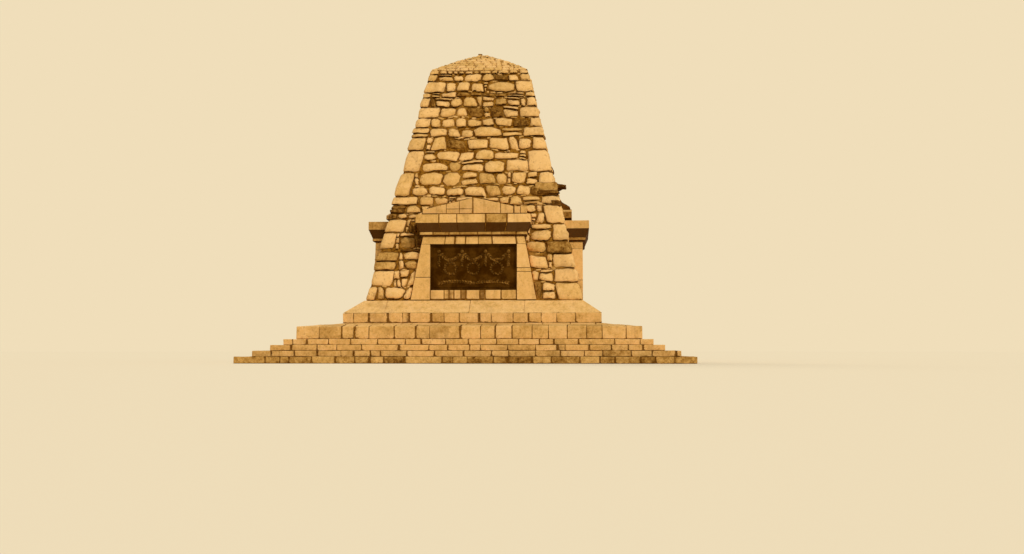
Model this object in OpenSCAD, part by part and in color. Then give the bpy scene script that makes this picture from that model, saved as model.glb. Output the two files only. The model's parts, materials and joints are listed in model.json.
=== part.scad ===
// A battered obelisk of coursed rubble on a stepped plinth. Each of its four
// sides has a portal of dressed stone that frames a bronze panel, under a
// chamfered cornice and a low gabled pediment.
// Millimetres, +Z up, the origin at the centre of the underside of the lowest
// step. The front faces -Y.

/* [Steps] */
// Height of the lowest step
first_rise = 180; // [120:5:240]
// Height of each of the three steps above it
step_rise = 155; // [110:5:200]
// Tread of the two lower steps
lower_tread = 375; // [250:5:500]
// Tread of the two upper steps
upper_tread = 280; // [200:5:400]

/* [Base course] */
// Height of the upright face of the base course
base_rise = 350; // [250:10:500]
// Rise of the gently sloped wash on its top
wash_rise = 120; // [60:5:200]
// How far the wash runs out from the plinth course
wash_run = 1055; // [700:5:1400]

/* [Plinth course] */
// Height of the upright face of the plinth course
plinth_rise = 275; // [180:5:400]
// Rise of the steep weathering on its top
weathering_rise = 370; // [200:10:500]
// How far the weathering runs in from the face
weathering_run = 505; // [300:5:700]
// Flat ledge between the weathering and the foot of the shaft
ledge = 20; // [10:1:60]

/* [Shaft] */
// Width of the shaft at its foot
shaft_w = 6220; // [5800:20:6800]
// Width of the rubble shaft under the levelling course
shaft_top_w = 3020; // [2600:20:3600]
// Height of the rubble shaft
shaft_h = 6960; // [6200:20:7800]
// Height of the levelling course of flat stones on top
levelling_h = 130; // [80:5:200]
// Rise of the pyramid cap
cap_rise = 890; // [500:10:1200]

/* [Portal] */
// Width across the jambs at their foot
portal_low_w = 3600; // [3300:10:4000]
// Width of the lintel at its top
portal_top_w = 2900; // [2750:10:3100]
// Height of the sill course under the panel
sill_h = 300; // [150:5:450]
// Height of the lintel
lintel_h = 225; // [150:5:350]
// How far the dressed stones are bonded into the rubble
bond = 200; // [100:5:300]

/* [Bronze panel] */
// Width of the panel
panel_w = 2490; // [2200:10:2600]
// Height of the panel
panel_h = 1310; // [1000:10:1500]
// Thickness of the panel's plate
panel_t = 40; // [20:1:60]
// How far the plate lies back from the face of the jambs
panel_recess = 100; // [50:5:150]
// Width of the raised rim round the plate
rim_w = 70; // [30:1:120]
// How far the rim stands out from the plate
rim_proud = 15; // [5:1:30]

/* [String and cornice] */
// Height of the string course
string_h = 120; // [80:5:180]
// Height of the bevel under the string course
string_bevel = 40; // [20:5:60]
// How far the string course stands out from the lintel
string_out = 80; // [40:5:120]
// Height of the cornice's sloped soffit
soffit_h = 260; // [150:5:350]
// How far the soffit leans out
soffit_run = 110; // [60:5:200]
// Height of the cornice's upright fascia
fascia_h = 240; // [150:5:320]

/* [Pediment] */
// Length of the pediment
gable_w = 3020; // [2700:10:3200]
// Height of the pediment at its ends
gable_end_h = 200; // [100:5:300]
// Height of the pediment at its ridge
gable_ridge_h = 550; // [350:5:700]
// How far the pediment stands back from the face of the jambs
gable_back = 330; // [200:5:400]

/* [Hidden] */
SIDES = ["front", "right", "back", "left"];
COURSES = [
    "step_1", "step_2", "step_3", "step_4", "base_course", "plinth_course",
    "shaft", "levelling_course", "cap"
];
PORTAL = ["sill", "left_jamb", "right_jamb", "backing", "panel", "lintel", "string", "cornice", "pediment"];

// Widths, each worked out from the course that stands on it
plinth_top_w = shaft_w + 2 * ledge;
plinth_w = plinth_top_w + 2 * weathering_run;
base_w = plinth_w + 2 * wash_run;
step_4_w = base_w + 2 * upper_tread;
step_3_w = step_4_w + 2 * upper_tread;
step_2_w = step_3_w + 2 * lower_tread;
step_1_w = step_2_w + 2 * lower_tread;

// Levels, each worked out from the course under it
step_2_z = first_rise;
step_3_z = step_2_z + step_rise;
step_4_z = step_3_z + step_rise;
base_z = step_4_z + step_rise;
plinth_z = base_z + base_rise + wash_rise;
shaft_z = plinth_z + plinth_rise + weathering_rise;
levelling_z = shaft_z + shaft_h;
cap_z = levelling_z + levelling_h;

// The shaft's batter: how far each wall leans in for each millimetre of height
batter = (shaft_w - shaft_top_w) / 2 / shaft_h;
cap_w = shaft_top_w - 2 * batter * levelling_h;

// Levels of the portal's stones
panel_z = shaft_z + sill_h;
lintel_z = panel_z + panel_h;
string_z = lintel_z + lintel_h;
cornice_z = string_z + string_h;
gable_z = cornice_z + soffit_h + fascia_h;

// The face of the jambs lies over the top edge of the weathering
face_y = plinth_top_w / 2;
string_y = face_y + string_out;
cornice_y = string_y + soffit_run;
gable_y = face_y - gable_back;
plate_y = face_y - panel_recess;
backing_y = plate_y - panel_t;

// Half lengths of the portal's stones
lintel_x = portal_top_w / 2;
string_x = lintel_x + string_out;
cornice_x = string_x + soffit_run;
// The jambs' outer edges lean in on one straight line from the plinth to the lintel's top
jamb_lean = (portal_low_w - portal_top_w) / 2 / (string_z - shaft_z);
jamb_top_x = portal_low_w / 2 - jamb_lean * (lintel_z - shaft_z);

// Stones are drawn back to this plane, which lies inside the shaft's core at every level
inner_y = shaft_top_w / 2 - bond;
core_top_w = shaft_top_w - 2 * bond;

// Shapes that only cut run on this far under the foot of the shaft
overcut = 50;

// Outlines are drawn as [across, up] and stand upright, their thickness along Y
module upright(from_y, to_y) {
    translate([0, -from_y, 0])
        rotate([90, 0, 0])
            linear_extrude(height = to_y - from_y)
                children();
}

// Turns what is drawn for the front to another side
module on_side(side) {
    rotate([0, 0, 90 * side])
        children();
}

module on_all_sides() {
    for (side = [0:len(SIDES) - 1])
        on_side(side)
            children();
}

// A square block whose four faces lean in evenly
module square_taper(low_w, top_w, h) {
    outline = [[-low_w / 2, 0], [low_w / 2, 0], [top_w / 2, h], [-top_w / 2, h]];
    intersection() {
        upright(-low_w / 2, low_w / 2)
            polygon(outline);
        on_side(1)
            upright(-low_w / 2, low_w / 2)
                polygon(outline);
    }
}

module square_pyramid(w, h) {
    outline = [[-w / 2, 0], [w / 2, 0], [0, h]];
    intersection() {
        upright(-w / 2, w / 2)
            polygon(outline);
        on_side(1)
            upright(-w / 2, w / 2)
                polygon(outline);
    }
}

// A square course with an upright face and a sloped top
module weathered_course(w, top_w, rise, slope_rise) {
    square_slab(w, rise);
    translate([0, 0, rise])
        square_taper(w, top_w, slope_rise);
}

module square_slab(w, h) {
    translate([-w / 2, -w / 2, 0])
        cube([w, w, h]);
}

// The masonry that the dressed stones are bonded against
module shaft_core() {
    h = shaft_h + overcut;
    translate([0, 0, shaft_z - overcut])
        square_taper(core_top_w + 2 * batter * h, core_top_w, h);
}

module bonded() {
    difference() {
        children();
        shaft_core();
    }
}

// Elevations of the portal's stones, seen from the front
module sill_outline() {
    translate([-panel_w / 2, shaft_z])
        square([panel_w, sill_h]);
}

module panel_outline() {
    translate([-panel_w / 2, panel_z])
        square([panel_w, panel_h]);
}

module jamb_outline() {
    polygon([
        [panel_w / 2, shaft_z],
        [portal_low_w / 2, shaft_z],
        [jamb_top_x, lintel_z],
        [panel_w / 2, lintel_z]
    ]);
}

module lintel_outline() {
    polygon([
        [-jamb_top_x, lintel_z],
        [jamb_top_x, lintel_z],
        [lintel_x, string_z],
        [-lintel_x, string_z]
    ]);
}

// Half profiles of the mouldings and of the gable's end, as [distance out, level], from the bottom up
function string_profile(foot) = [
    [foot, string_z],
    [foot + string_out, string_z + string_bevel],
    [foot + string_out, cornice_z]
];

function cornice_profile(foot) = [
    [foot, cornice_z],
    [foot + soffit_run, cornice_z + soffit_h],
    [foot + soffit_run, gable_z]
];

function gable_profile() = [
    [gable_w / 2, gable_z],
    [gable_w / 2, gable_z + gable_end_h]
];

function mirrored(profile) = [for (i = [len(profile) - 1:-1:0]) [-profile[i][0], profile[i][1]]];

function without_foot(profile) = [for (i = [1:len(profile) - 1]) profile[i]];

module string_outline() {
    profile = string_profile(lintel_x);
    polygon(concat(profile, mirrored(profile)));
}

module cornice_outline() {
    profile = cornice_profile(string_x);
    polygon(concat(profile, mirrored(profile)));
}

module pediment_outline() {
    ridge = [0, gable_z + gable_ridge_h];
    polygon(concat(gable_profile(), [ridge], mirrored(gable_profile())));
}

// The whole portal: up the outer edge of a jamb, round the mouldings and over the gable
module portal_outline() {
    edge = concat(
        [[portal_low_w / 2 + jamb_lean * overcut, shaft_z - overcut]],
        string_profile(lintel_x),
        without_foot(cornice_profile(string_x)),
        gable_profile()
    );
    ridge = [0, gable_z + gable_ridge_h];
    polygon(concat(edge, [ridge], mirrored(edge)));
}

// A moulding whose profile runs along the front and returns round both ends
module returned_moulding(profile, half_length) {
    intersection() {
        upright(inner_y, profile[len(profile) - 1][0])
            children();
        translate([-half_length, 0, 0])
            rotate([90, 0, 90])
                linear_extrude(height = 2 * half_length)
                    polygon(concat(
                        [[-inner_y, profile[0][1]]],
                        [for (point = profile) [-point[0], point[1]]],
                        [[-inner_y, profile[len(profile) - 1][1]]]
                    ));
    }
}

module step_1() {
    color("burlywood")
        square_slab(step_1_w, first_rise);
}

module step_2() {
    color("burlywood")
        translate([0, 0, step_2_z])
            square_slab(step_2_w, step_rise);
}

module step_3() {
    color("burlywood")
        translate([0, 0, step_3_z])
            square_slab(step_3_w, step_rise);
}

module step_4() {
    color("burlywood")
        translate([0, 0, step_4_z])
            square_slab(step_4_w, step_rise);
}

module base_course() {
    color("burlywood")
        translate([0, 0, base_z])
            weathered_course(base_w, plinth_w, base_rise, wash_rise);
}

module plinth_course() {
    color("wheat")
        translate([0, 0, plinth_z])
            weathered_course(plinth_w, plinth_top_w, plinth_rise, weathering_rise);
}

module shaft() {
    color("tan")
        difference() {
            translate([0, 0, shaft_z])
                square_taper(shaft_w, shaft_top_w, shaft_h);
            bonded()
                on_all_sides()
                    upright(inner_y, face_y)
                        portal_outline();
        }
}

module levelling_course() {
    color("burlywood")
        translate([0, 0, levelling_z])
            square_taper(shaft_top_w, cap_w, levelling_h);
}

module cap() {
    color("tan")
        translate([0, 0, cap_z])
            square_pyramid(cap_w, cap_rise);
}

module sill() {
    color("burlywood")
        bonded()
            upright(inner_y, face_y)
                sill_outline();
}

module right_jamb() {
    color("wheat")
        bonded()
            upright(inner_y, face_y)
                jamb_outline();
}

module left_jamb() {
    mirror([1, 0, 0])
        right_jamb();
}

// Rubble carried out from the core to the back of the panel
module backing() {
    color("tan")
        bonded()
            upright(inner_y, backing_y)
                panel_outline();
}

module panel() {
    color("saddlebrown")
        difference() {
            upright(backing_y, plate_y + rim_proud)
                panel_outline();
            translate([0, 0, panel_z])
                upright(plate_y, plate_y + 2 * rim_proud)
                    translate([-panel_w / 2 + rim_w, rim_w])
                        square([panel_w - 2 * rim_w, panel_h - 2 * rim_w]);
        }
}

module lintel() {
    color("wheat")
        bonded()
            upright(inner_y, face_y)
                lintel_outline();
}

module string() {
    color("burlywood")
        bonded()
            returned_moulding(string_profile(face_y), string_x)
                string_outline();
}

module cornice() {
    color("wheat")
        bonded()
            returned_moulding(cornice_profile(string_y), cornice_x)
                cornice_outline();
}

module pediment() {
    color("wheat")
        bonded()
            upright(inner_y, gable_y)
                pediment_outline();
}

step_1();
step_2();
step_3();
step_4();
base_course();
plinth_course();
shaft();
levelling_course();
cap();
for (side = [0:len(SIDES) - 1]) {
    on_side(side) sill();
    on_side(side) left_jamb();
    on_side(side) right_jamb();
    on_side(side) backing();
    on_side(side) panel();
    on_side(side) lintel();
    on_side(side) string();
    on_side(side) cornice();
    on_side(side) pediment();
}
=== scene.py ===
# %% [markdown]
# A battered obelisk of coursed rubble stands on a stepped plinth of dressed stone, and each of its
# sides has a portal of dressed stone round a bronze panel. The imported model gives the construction
# and every size. This lesson adds what a mason would add: the single stones, the joints between
# them, the bronze relief, and the weather on all of it.
# The frame is loaded first, because each stone takes its place from it.

# %% Load the frame
import json
import math
import random
from itertools import pairwise

import bmesh
import bpy
import numpy as np
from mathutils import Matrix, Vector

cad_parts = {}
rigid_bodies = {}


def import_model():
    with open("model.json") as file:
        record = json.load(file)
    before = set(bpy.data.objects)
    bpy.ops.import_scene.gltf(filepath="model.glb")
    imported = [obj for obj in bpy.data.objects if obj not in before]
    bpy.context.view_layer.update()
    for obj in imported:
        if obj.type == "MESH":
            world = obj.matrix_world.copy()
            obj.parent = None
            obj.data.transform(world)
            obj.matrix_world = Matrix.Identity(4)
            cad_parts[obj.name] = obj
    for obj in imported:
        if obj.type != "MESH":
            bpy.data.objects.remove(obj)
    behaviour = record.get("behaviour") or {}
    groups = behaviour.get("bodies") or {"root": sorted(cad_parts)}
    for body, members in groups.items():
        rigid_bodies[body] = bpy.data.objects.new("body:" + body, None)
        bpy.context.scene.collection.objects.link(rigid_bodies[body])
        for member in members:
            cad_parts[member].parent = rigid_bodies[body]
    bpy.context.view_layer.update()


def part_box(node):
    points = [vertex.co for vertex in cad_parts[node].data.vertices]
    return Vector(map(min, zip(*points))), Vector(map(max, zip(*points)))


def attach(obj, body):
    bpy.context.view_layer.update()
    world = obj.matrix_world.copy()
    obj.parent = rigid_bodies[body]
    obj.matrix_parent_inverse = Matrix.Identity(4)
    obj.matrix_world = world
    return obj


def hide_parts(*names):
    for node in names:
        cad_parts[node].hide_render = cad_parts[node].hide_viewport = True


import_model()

# %% [markdown]
# A photograph of a monument is mostly a view: the camera stands low in front of the steps, a little
# to the right, and looks slightly up. A lens of about 38 mm on a full-frame sensor gives the same
# perspective, and the places below are in metres.

# %% Camera
CAMERA_PLACE = (2.936, -34.0, 0.319)
CAMERA_TILT = 0.068
CAMERA_TURN = 0.0592
CAMERA_LENS = 38.31
SENSOR_WIDTH = 36.0

bpy.ops.object.select_all(action="DESELECT")
bpy.ops.object.camera_add(location=CAMERA_PLACE, rotation=(math.pi / 2 + CAMERA_TILT, 0.0, CAMERA_TURN))
camera = bpy.context.object
camera.name = "view_camera"
camera.data.lens = CAMERA_LENS
camera.data.sensor_width = SENSOR_WIDTH
camera.data.clip_end = 1000.0
bpy.context.scene.camera = camera
print("camera at", CAMERA_PLACE, "with a lens of", CAMERA_LENS, "mm")

# %% [markdown]
# The sky, the floor and every finish are made of shader nodes, so the helpers for nodes come first.
# An output of a node is wrapped as a wire. Wires and numbers can be added, subtracted, multiplied
# and divided, and each of these signs makes one Math node.

# %% Nodes and wires
class Wire:
    """An output of a shader node."""

    def __init__(self, made, output=0):
        self.tree = made.id_data
        self.socket = made.outputs[output]

    def clamped(self):
        """The same value, kept from 0 to 1 by the Math node that makes it."""
        self.socket.node.use_clamp = True
        return self


def feed(made, inputs):
    """Sets input sockets of a node to a number or a colour, or links them to a wire."""
    for socket, source in inputs.items():
        if isinstance(source, Wire):
            made.id_data.links.new(source.socket, made.inputs[socket])
        else:
            made.inputs[socket].default_value = source


def node(tree, kind, inputs=None, **settings):
    """A new node with its settings and its inputs."""
    made = tree.nodes.new("ShaderNode" + kind)
    for key, value in settings.items():
        setattr(made, key, value)
    feed(made, inputs or {})
    return made


def sign(operation, swapped=False):
    """What a sign does to a wire. swapped is for a number that stands before the sign."""
    def combined(wire, other):
        pair = (other, wire) if swapped else (wire, other)
        return Wire(node(wire.tree, "Math", dict(enumerate(pair)), operation=operation))
    return combined


Wire.__add__ = sign("ADD")
Wire.__sub__ = sign("SUBTRACT")
Wire.__mul__ = sign("MULTIPLY")
Wire.__truediv__ = sign("DIVIDE")
Wire.__rsub__ = sign("SUBTRACT", swapped=True)
Wire.__rtruediv__ = sign("DIVIDE", swapped=True)
print("signs for wires: + - * /")

# %% [markdown]
# A few kinds of node come back in every finish: a smooth step, a blend of two colours, a noise and
# an attribute of the mesh. Each gets a helper with a plain name. A colour is written as it is seen,
# from 0 to 255, because that is how one picks it, but shaders work with linear values.

# %% Kinds of node
def between(value, low, high, to_low=0.0, to_high=1.0):
    """A smooth step from one value to another."""
    ends = {"Value": value, "From Min": low, "From Max": high, "To Min": to_low, "To Max": to_high}
    return Wire(node(value.tree, "MapRange", ends, interpolation_type="SMOOTHSTEP"))


def blend(share, first, second):
    """A colour that goes from the first to the second by a share."""
    return Wire(node(share.tree, "Mix", {0: share, 6: first, 7: second}, data_type="RGBA"), 2)


def noise(place, scale, detail=4.0, rough=0.55, stretch=None):
    """A noise pattern, stretched along an axis where stretch says so."""
    if stretch:
        place = Wire(node(place.tree, "Mapping", {"Vector": place, "Scale": stretch}))
    inputs = {"Vector": place, "Scale": scale, "Detail": detail, "Roughness": rough}
    return Wire(node(place.tree, "TexNoise", inputs), "Fac")


def attribute(tree, name):
    """A number that the mesh carries at each of its points."""
    return Wire(node(tree, "Attribute", attribute_name=name), "Fac")


def paint(red, green, blue):
    """A colour as it is seen, turned into linear values."""
    seen = [value / 255 for value in (red, green, blue)]
    return tuple(c / 12.92 if c <= 0.04045 else ((c + 0.055) / 1.055) ** 2.4 for c in seen) + (1.0,)


print("a middle grey is", round(paint(128, 128, 128)[0], 3), "in linear values")

# %% [markdown]
# An effect that several finishes share is a node group, and it follows a place on the object. The
# shader itself stays in each material, where constants are set on its own sockets.

# %% Groups and materials
def new_group(name, numbers, outputs):
    """A group that takes a place and some numbers. Returns its tree, its wires in and its end node."""
    tree = bpy.data.node_groups.new(name, "ShaderNodeTree")
    tree.interface.new_socket("Vector", in_out="INPUT", socket_type="NodeSocketVector")
    for socket, value in numbers.items():
        made = tree.interface.new_socket(socket, in_out="INPUT", socket_type="NodeSocketFloat")
        made.default_value = value
    for socket in outputs:
        tree.interface.new_socket(socket, in_out="OUTPUT", socket_type="NodeSocketFloat")
    start = tree.nodes.new("NodeGroupInput")
    wires = [Wire(start, socket) for socket in ("Vector", *numbers)]
    return tree, wires, tree.nodes.new("NodeGroupOutput")


def new_material(name):
    """A material, the tree of its nodes, and the place on the object that patterns follow."""
    material = bpy.data.materials.new(name)
    material.use_nodes = True
    tree = material.node_tree
    return material, tree, Wire(node(tree, "TexCoord"), "Object")


def shade(tree, bump, **inputs):
    """Gives the Principled shader its inputs, and a Bump node for its surface."""
    shader = tree.nodes["Principled BSDF"]
    feed(shader, {name.replace("_", " "): source for name, source in inputs.items()})
    feed(shader, {"Normal": Wire(node(tree, "Bump", bump), "Normal")})


print("helpers for materials ready")

# %% [markdown]
# Stone shows its form by the light that grazes it. One broad key light comes from high on the
# right, so that the cornice shades its own underside, and a weaker one from behind keeps the other
# sides readable. The world fills the shadows. The pale background is only seen by the camera and by
# glossy rays, so that it adds no light of its own.

# %% Light and background
KEY_STRENGTH = 1.9
BACK_STRENGTH = 0.9
FILL_STRENGTH = 0.42
SOFTNESS = 9.0
LAMP_LEVEL = 30.0
BACKGROUND = paint(240, 222, 186)


def add_sun(name, height, heading, strength, softness):
    """A sun lamp. Its height over the floor, its heading from the front to the right, and its
    softness are in degrees."""
    bpy.ops.object.select_all(action="DESELECT")
    turn = (math.radians(90 - height), 0.0, math.radians(heading))
    bpy.ops.object.light_add(type="SUN", location=(0.0, 0.0, LAMP_LEVEL), rotation=turn)
    lamp = bpy.context.object
    lamp.name = name
    lamp.data.energy = strength
    lamp.data.angle = math.radians(softness)


add_sun("key_light", 39.0, 30.0, KEY_STRENGTH, SOFTNESS)
add_sun("back_light", 40.0, 215.0, BACK_STRENGTH, 3 * SOFTNESS)

world = bpy.data.worlds.new("studio")
bpy.context.scene.world = world
world.use_nodes = True
sky = world.node_tree
sky.nodes.clear()
fill = node(sky, "Background", {"Color": paint(255, 255, 255), "Strength": FILL_STRENGTH})
seen = node(sky, "Background", {"Color": BACKGROUND})
path = node(sky, "LightPath")
rays = {0: Wire(path, "Is Camera Ray"), 1: Wire(path, "Is Glossy Ray")}
either = node(sky, "Math", rays, operation="MAXIMUM")
pick_sky = node(sky, "MixShader", {0: Wire(either), 1: Wire(fill), 2: Wire(seen)})
node(sky, "OutputWorld", {"Surface": Wire(pick_sky)})
bpy.context.scene.view_settings.view_transform = "Standard"

# %% [markdown]
# The floor is a wide plain disc in the colour of the background. It is lit as the object is, at a
# level where a colour shows about as it is written, so it meets the background without a hard line
# and still takes the object's shadow.

# %% Floor
FLOOR_RADIUS = 900.0

bpy.ops.object.select_all(action="DESELECT")
bpy.ops.mesh.primitive_circle_add(vertices=96, radius=FLOOR_RADIUS, fill_type="NGON")
floor = bpy.context.object
floor.name = "floor"
ground = bpy.data.materials.new("floor paint")
ground.use_nodes = True
ground_shader = ground.node_tree.nodes["Principled BSDF"]
feed(ground_shader, {"Base Color": BACKGROUND, "Roughness": 1.0, "Specular IOR Level": 0.0})
floor.data.materials.append(ground)
print("floor", 2 * FLOOR_RADIUS, "m across")

# %% [markdown]
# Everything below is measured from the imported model: the widths and levels of the courses and the
# faces of the portal. Only what a bounding box can't tell is written as a number, such as the height
# of an upright face under a slope.

# %% Measures from the frame
SIDES = ["front", "right", "back", "left"]
STEPS = ["step_1", "step_2", "step_3", "step_4"]
BASE_FACE = 0.35
PLINTH_FACE = 0.275
STRING_OUT = 0.08
STRING_BEVEL = 0.04
SOFFIT_HEIGHT = 0.26
GABLE_END = 0.20


def half_of(name):
    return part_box(name)[1].x


def foot_of(name):
    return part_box(name)[0].z


def top_of(name):
    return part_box(name)[1].z


def face_of(name):
    """How far the front of a part of the front portal stands out from the middle."""
    return -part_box(name)[0].y


shaft_foot, shaft_top = foot_of("shaft"), top_of("shaft")
shaft_low_half, shaft_top_half = half_of("shaft"), half_of("levelling_course")
batter = (shaft_low_half - shaft_top_half) / (shaft_top - shaft_foot)
cap_foot, apex, cap_half = foot_of("cap"), top_of("cap"), half_of("cap")
base_foot, base_half = foot_of("base_course"), half_of("base_course")
plinth_foot, plinth_half = foot_of("plinth_course"), half_of("plinth_course")
jamb_face = face_of("front_right_jamb")
lintel_foot, lintel_low_x = foot_of("front_lintel"), half_of("front_lintel")
string_foot, string_x = foot_of("front_string"), half_of("front_string")
lintel_x = string_x - STRING_OUT
cornice_foot, cornice_x = foot_of("front_cornice"), half_of("front_cornice")
gable_foot, gable_top = foot_of("front_pediment"), top_of("front_pediment")
gable_x, gable_face = half_of("front_pediment"), face_of("front_pediment")
panel_foot, panel_top, panel_x = foot_of("front_panel"), top_of("front_panel"), half_of("front_panel")
print("portal face at", round(jamb_face, 3), "cornice out to", round(cornice_x, 3))

# %% [markdown]
# The faces of the monument lean, so a single width won't do. A rule says how far a face stands from
# the middle at each level, and every stone of that face is laid by it.

# %% Faces that lean
CAP_SWELL = 0.07


def shaft_face(z):
    """Half the width of the shaft at a level."""
    return shaft_low_half - batter * (z - shaft_foot)


def cap_face(z):
    """Half the width of the pyramid at a level. Its slopes swell a little, as a heap of stones does."""
    share = np.clip((z - cap_foot) / (apex - cap_foot), 0.0, 1.0)
    return cap_half * (1.0 - share) + 4.0 * CAP_SWELL * share * (1.0 - share)


def portal_edge(z):
    """How far the dressed stones reach from the middle of a side, up to the pediment."""
    lean = (lintel_low_x - lintel_x) / (string_foot - lintel_foot)
    return lintel_x + lean * np.maximum(string_foot - z, 0.0)


print("shaft from", round(shaft_foot, 3), "to", round(shaft_top, 3), "batter", round(batter, 4))

# %% [markdown]
# Work in edit mode always begins the same way: nothing is selected, a primitive is added, and the
# faces or edges to work on are picked by where they are. These helpers do that.

# %% Helpers for starting and picking
def start_clean():
    """Object mode with nothing selected, because an operator acts on all that is selected."""
    if bpy.context.object and bpy.context.object.mode != "OBJECT":
        bpy.ops.object.mode_set(mode="OBJECT")
    bpy.ops.object.select_all(action="DESELECT")


def hold(piece):
    """Makes a piece the active object and the only one selected."""
    start_clean()
    piece.select_set(True)
    bpy.context.view_layer.objects.active = piece


def to_edit_mode():
    """Fixes the place and size of a new primitive in its mesh, and starts to edit it."""
    bpy.ops.object.transform_apply(location=True, rotation=True, scale=True)
    bpy.ops.object.mode_set(mode="EDIT")
    return bpy.context.object


def add_cube(low, high):
    """A cube between two corners, in edit mode."""
    start_clean()
    centre = [(a + b) / 2 for a, b in zip(low, high)]
    size = [b - a for a, b in zip(low, high)]
    bpy.ops.mesh.primitive_cube_add(size=1.0, location=centre, scale=size)
    return to_edit_mode()


def pick(piece, kind, test):
    """Selects the "verts", "edges" or "faces" that pass the test, and nothing else."""
    bpy.ops.mesh.select_mode(type={"verts": "VERT", "edges": "EDGE", "faces": "FACE"}[kind])
    bpy.ops.mesh.select_all(action="DESELECT")
    mesh = bmesh.from_edit_mesh(piece.data)
    for part in getattr(mesh, kind):
        part.select_set(bool(test(part)))
    mesh.select_flush_mode()
    bmesh.update_edit_mesh(piece.data)


def middle(edge):
    return (edge.verts[0].co + edge.verts[1].co) / 2


def pick_front(piece):
    """Selects the face that looks at the viewer."""
    pick(piece, "faces", lambda f: f.normal.y < -0.9)


print("helpers for picking ready")

# %% [markdown]
# The picked faces are then shaped. A piece that is ready gets its name and its material, and it
# rides on the monument's one body. Where it stands for a solid of the imported model, it replaces that
# solid.

# %% Helpers for shaping and finishing
def cut_through(place, across):
    """Cuts the whole mesh by a plane."""
    bpy.ops.mesh.select_all(action="SELECT")
    bpy.ops.mesh.bisect(plane_co=place, plane_no=across)


def extrude(y=0.0, z=0.0):
    """Draws the picked faces out, to the viewer where y is below 0, or up by z."""
    bpy.ops.mesh.extrude_region_move(TRANSFORM_OT_translate={"value": (0.0, y, z)})


def finish_piece(piece, name, finish, *nodes):
    """Names a piece, gives it a material, and ties it to the frame."""
    material, slot_name = finish
    piece.name = name
    piece.data.name = name
    piece.data.materials.clear()
    piece.data.materials.append(material)
    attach(piece, "root")
    if nodes:
        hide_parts(*nodes)
    print(name, "has", len(piece.data.polygons), "faces")


print("helpers for shaping and finishing ready")

# %% [markdown]
# A mason doesn't cut a thousand different stones from drawings, and neither does this file. A few
# blanks are modelled in a cube of one metre, with x across, y into the wall and z up. Each is then
# copied and fitted to the gap where it is laid, and no two gaps are alike.
# A rough stone starts as a cube. Its long edges are bevelled to give the outline. The face is
# extruded and drawn in twice and then poked, so that it stands out from a lower rim as a split face
# does. An inset would do the same, but it folds over itself where a bevel left short edges.

# %% Blanks of rough stone
RIM_DEPTH = 0.16
FACE_CROWN = 0.11
CUBE_MIDDLE = (0.5, 0.5, 0.5)


def read_blank(piece, kind):
    """The points and faces of a finished blank, whose object isn't needed any more."""
    bpy.ops.object.mode_set(mode="OBJECT")
    points = np.array([v.co for v in piece.data.vertices], float)
    faces = [tuple(f.vertices) for f in piece.data.polygons]
    bpy.data.objects.remove(piece)
    return {"points": points, "faces": faces, "kind": kind}


def halve_sides(piece):
    """Gives each side of the face a point in its middle, and keeps the face and the back whole."""
    for across in ((1, 0, 0), (0, 0, 1)):
        cut_through(CUBE_MIDDLE, across)
    for way in (-1, 1):
        pick(piece, "faces", lambda f, w=way: f.normal.y * w > 0.9)
        bpy.ops.mesh.dissolve_faces()


def cut_edges(piece, upper, offset, rounds):
    """Bevels the edges that run into the wall at the corners, at the top or at the foot."""
    pick(
        piece, "edges",
        lambda e: (middle(e).z > 0.9) == upper
        and min(abs(middle(e).z - 0.5), abs(middle(e).x - 0.5)) > 0.4
        and abs(e.verts[0].co.y - e.verts[1].co.y) > 0.5,
    )
    bpy.ops.mesh.bevel(offset=offset, segments=rounds, affect="EDGES")


def draw_out(depth, share):
    """Extrudes the picked face towards the viewer and draws it in to a share of its size."""
    extrude(y=-depth)
    bpy.ops.transform.resize(value=(share, 1.0, share), center_override=CUBE_MIDDLE)


def rough_blank(top_cut, foot_cut, rounds, rim=0.86, crown=0.56, bulge=FACE_CROWN):
    piece = add_cube((0, RIM_DEPTH, 0), (1, 1, 1))
    halve_sides(piece)
    cut_edges(piece, True, top_cut, rounds)
    cut_edges(piece, False, foot_cut, rounds)
    pick_front(piece)
    draw_out(RIM_DEPTH, rim)
    draw_out(bulge, crown)
    bpy.ops.mesh.poke(offset=0.0)
    return read_blank(piece, "rough")


ROUGH = {
    "squared": rough_blank(0.19, 0.15, 2),
    "blocky": rough_blank(0.12, 0.19, 2, rim=0.9),
    "rounded": rough_blank(0.28, 0.24, 2),
    "oval": rough_blank(0.34, 0.31, 3, rim=0.84, bulge=0.2),
    "arched": rough_blank(0.28, 0.07, 3),
    "boat": rough_blank(0.13, 0.29, 2),
    "hipped": rough_blank(0.27, 0.12, 1),
    "lozenge": rough_blank(0.23, 0.27, 1),
}
print({name: len(blank["faces"]) for name, blank in ROUGH.items()})

# %% [markdown]
# A quoin shows two faces, so its blank is rounded all over. The dressed blocks of the steps and of
# the portals are sharper: theirs is a cube with two cuts, so that its long edges can waver a little,
# and the worn arris comes later from a bevel of the same size on every block.

# %% Blanks of quoins, chips and dressed blocks
def on_cube_edge(edge):
    """True for an edge that lies on one of the twelve edges of the unit cube."""
    return sum(min(c, 1 - c) < 0.01 for c in middle(edge)) >= 2


def quoin_blank(cuts, offset, roundness):
    piece = add_cube((0, 0, 0), (1, 1, 1))
    if cuts:
        bpy.ops.mesh.subdivide(number_cuts=cuts)
    pick(piece, "edges", on_cube_edge)
    bpy.ops.mesh.bevel(offset=offset, segments=1, affect="EDGES")
    bpy.ops.mesh.select_all(action="SELECT")
    bpy.ops.transform.tosphere(value=roundness)
    return read_blank(piece, "quoin")


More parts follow.
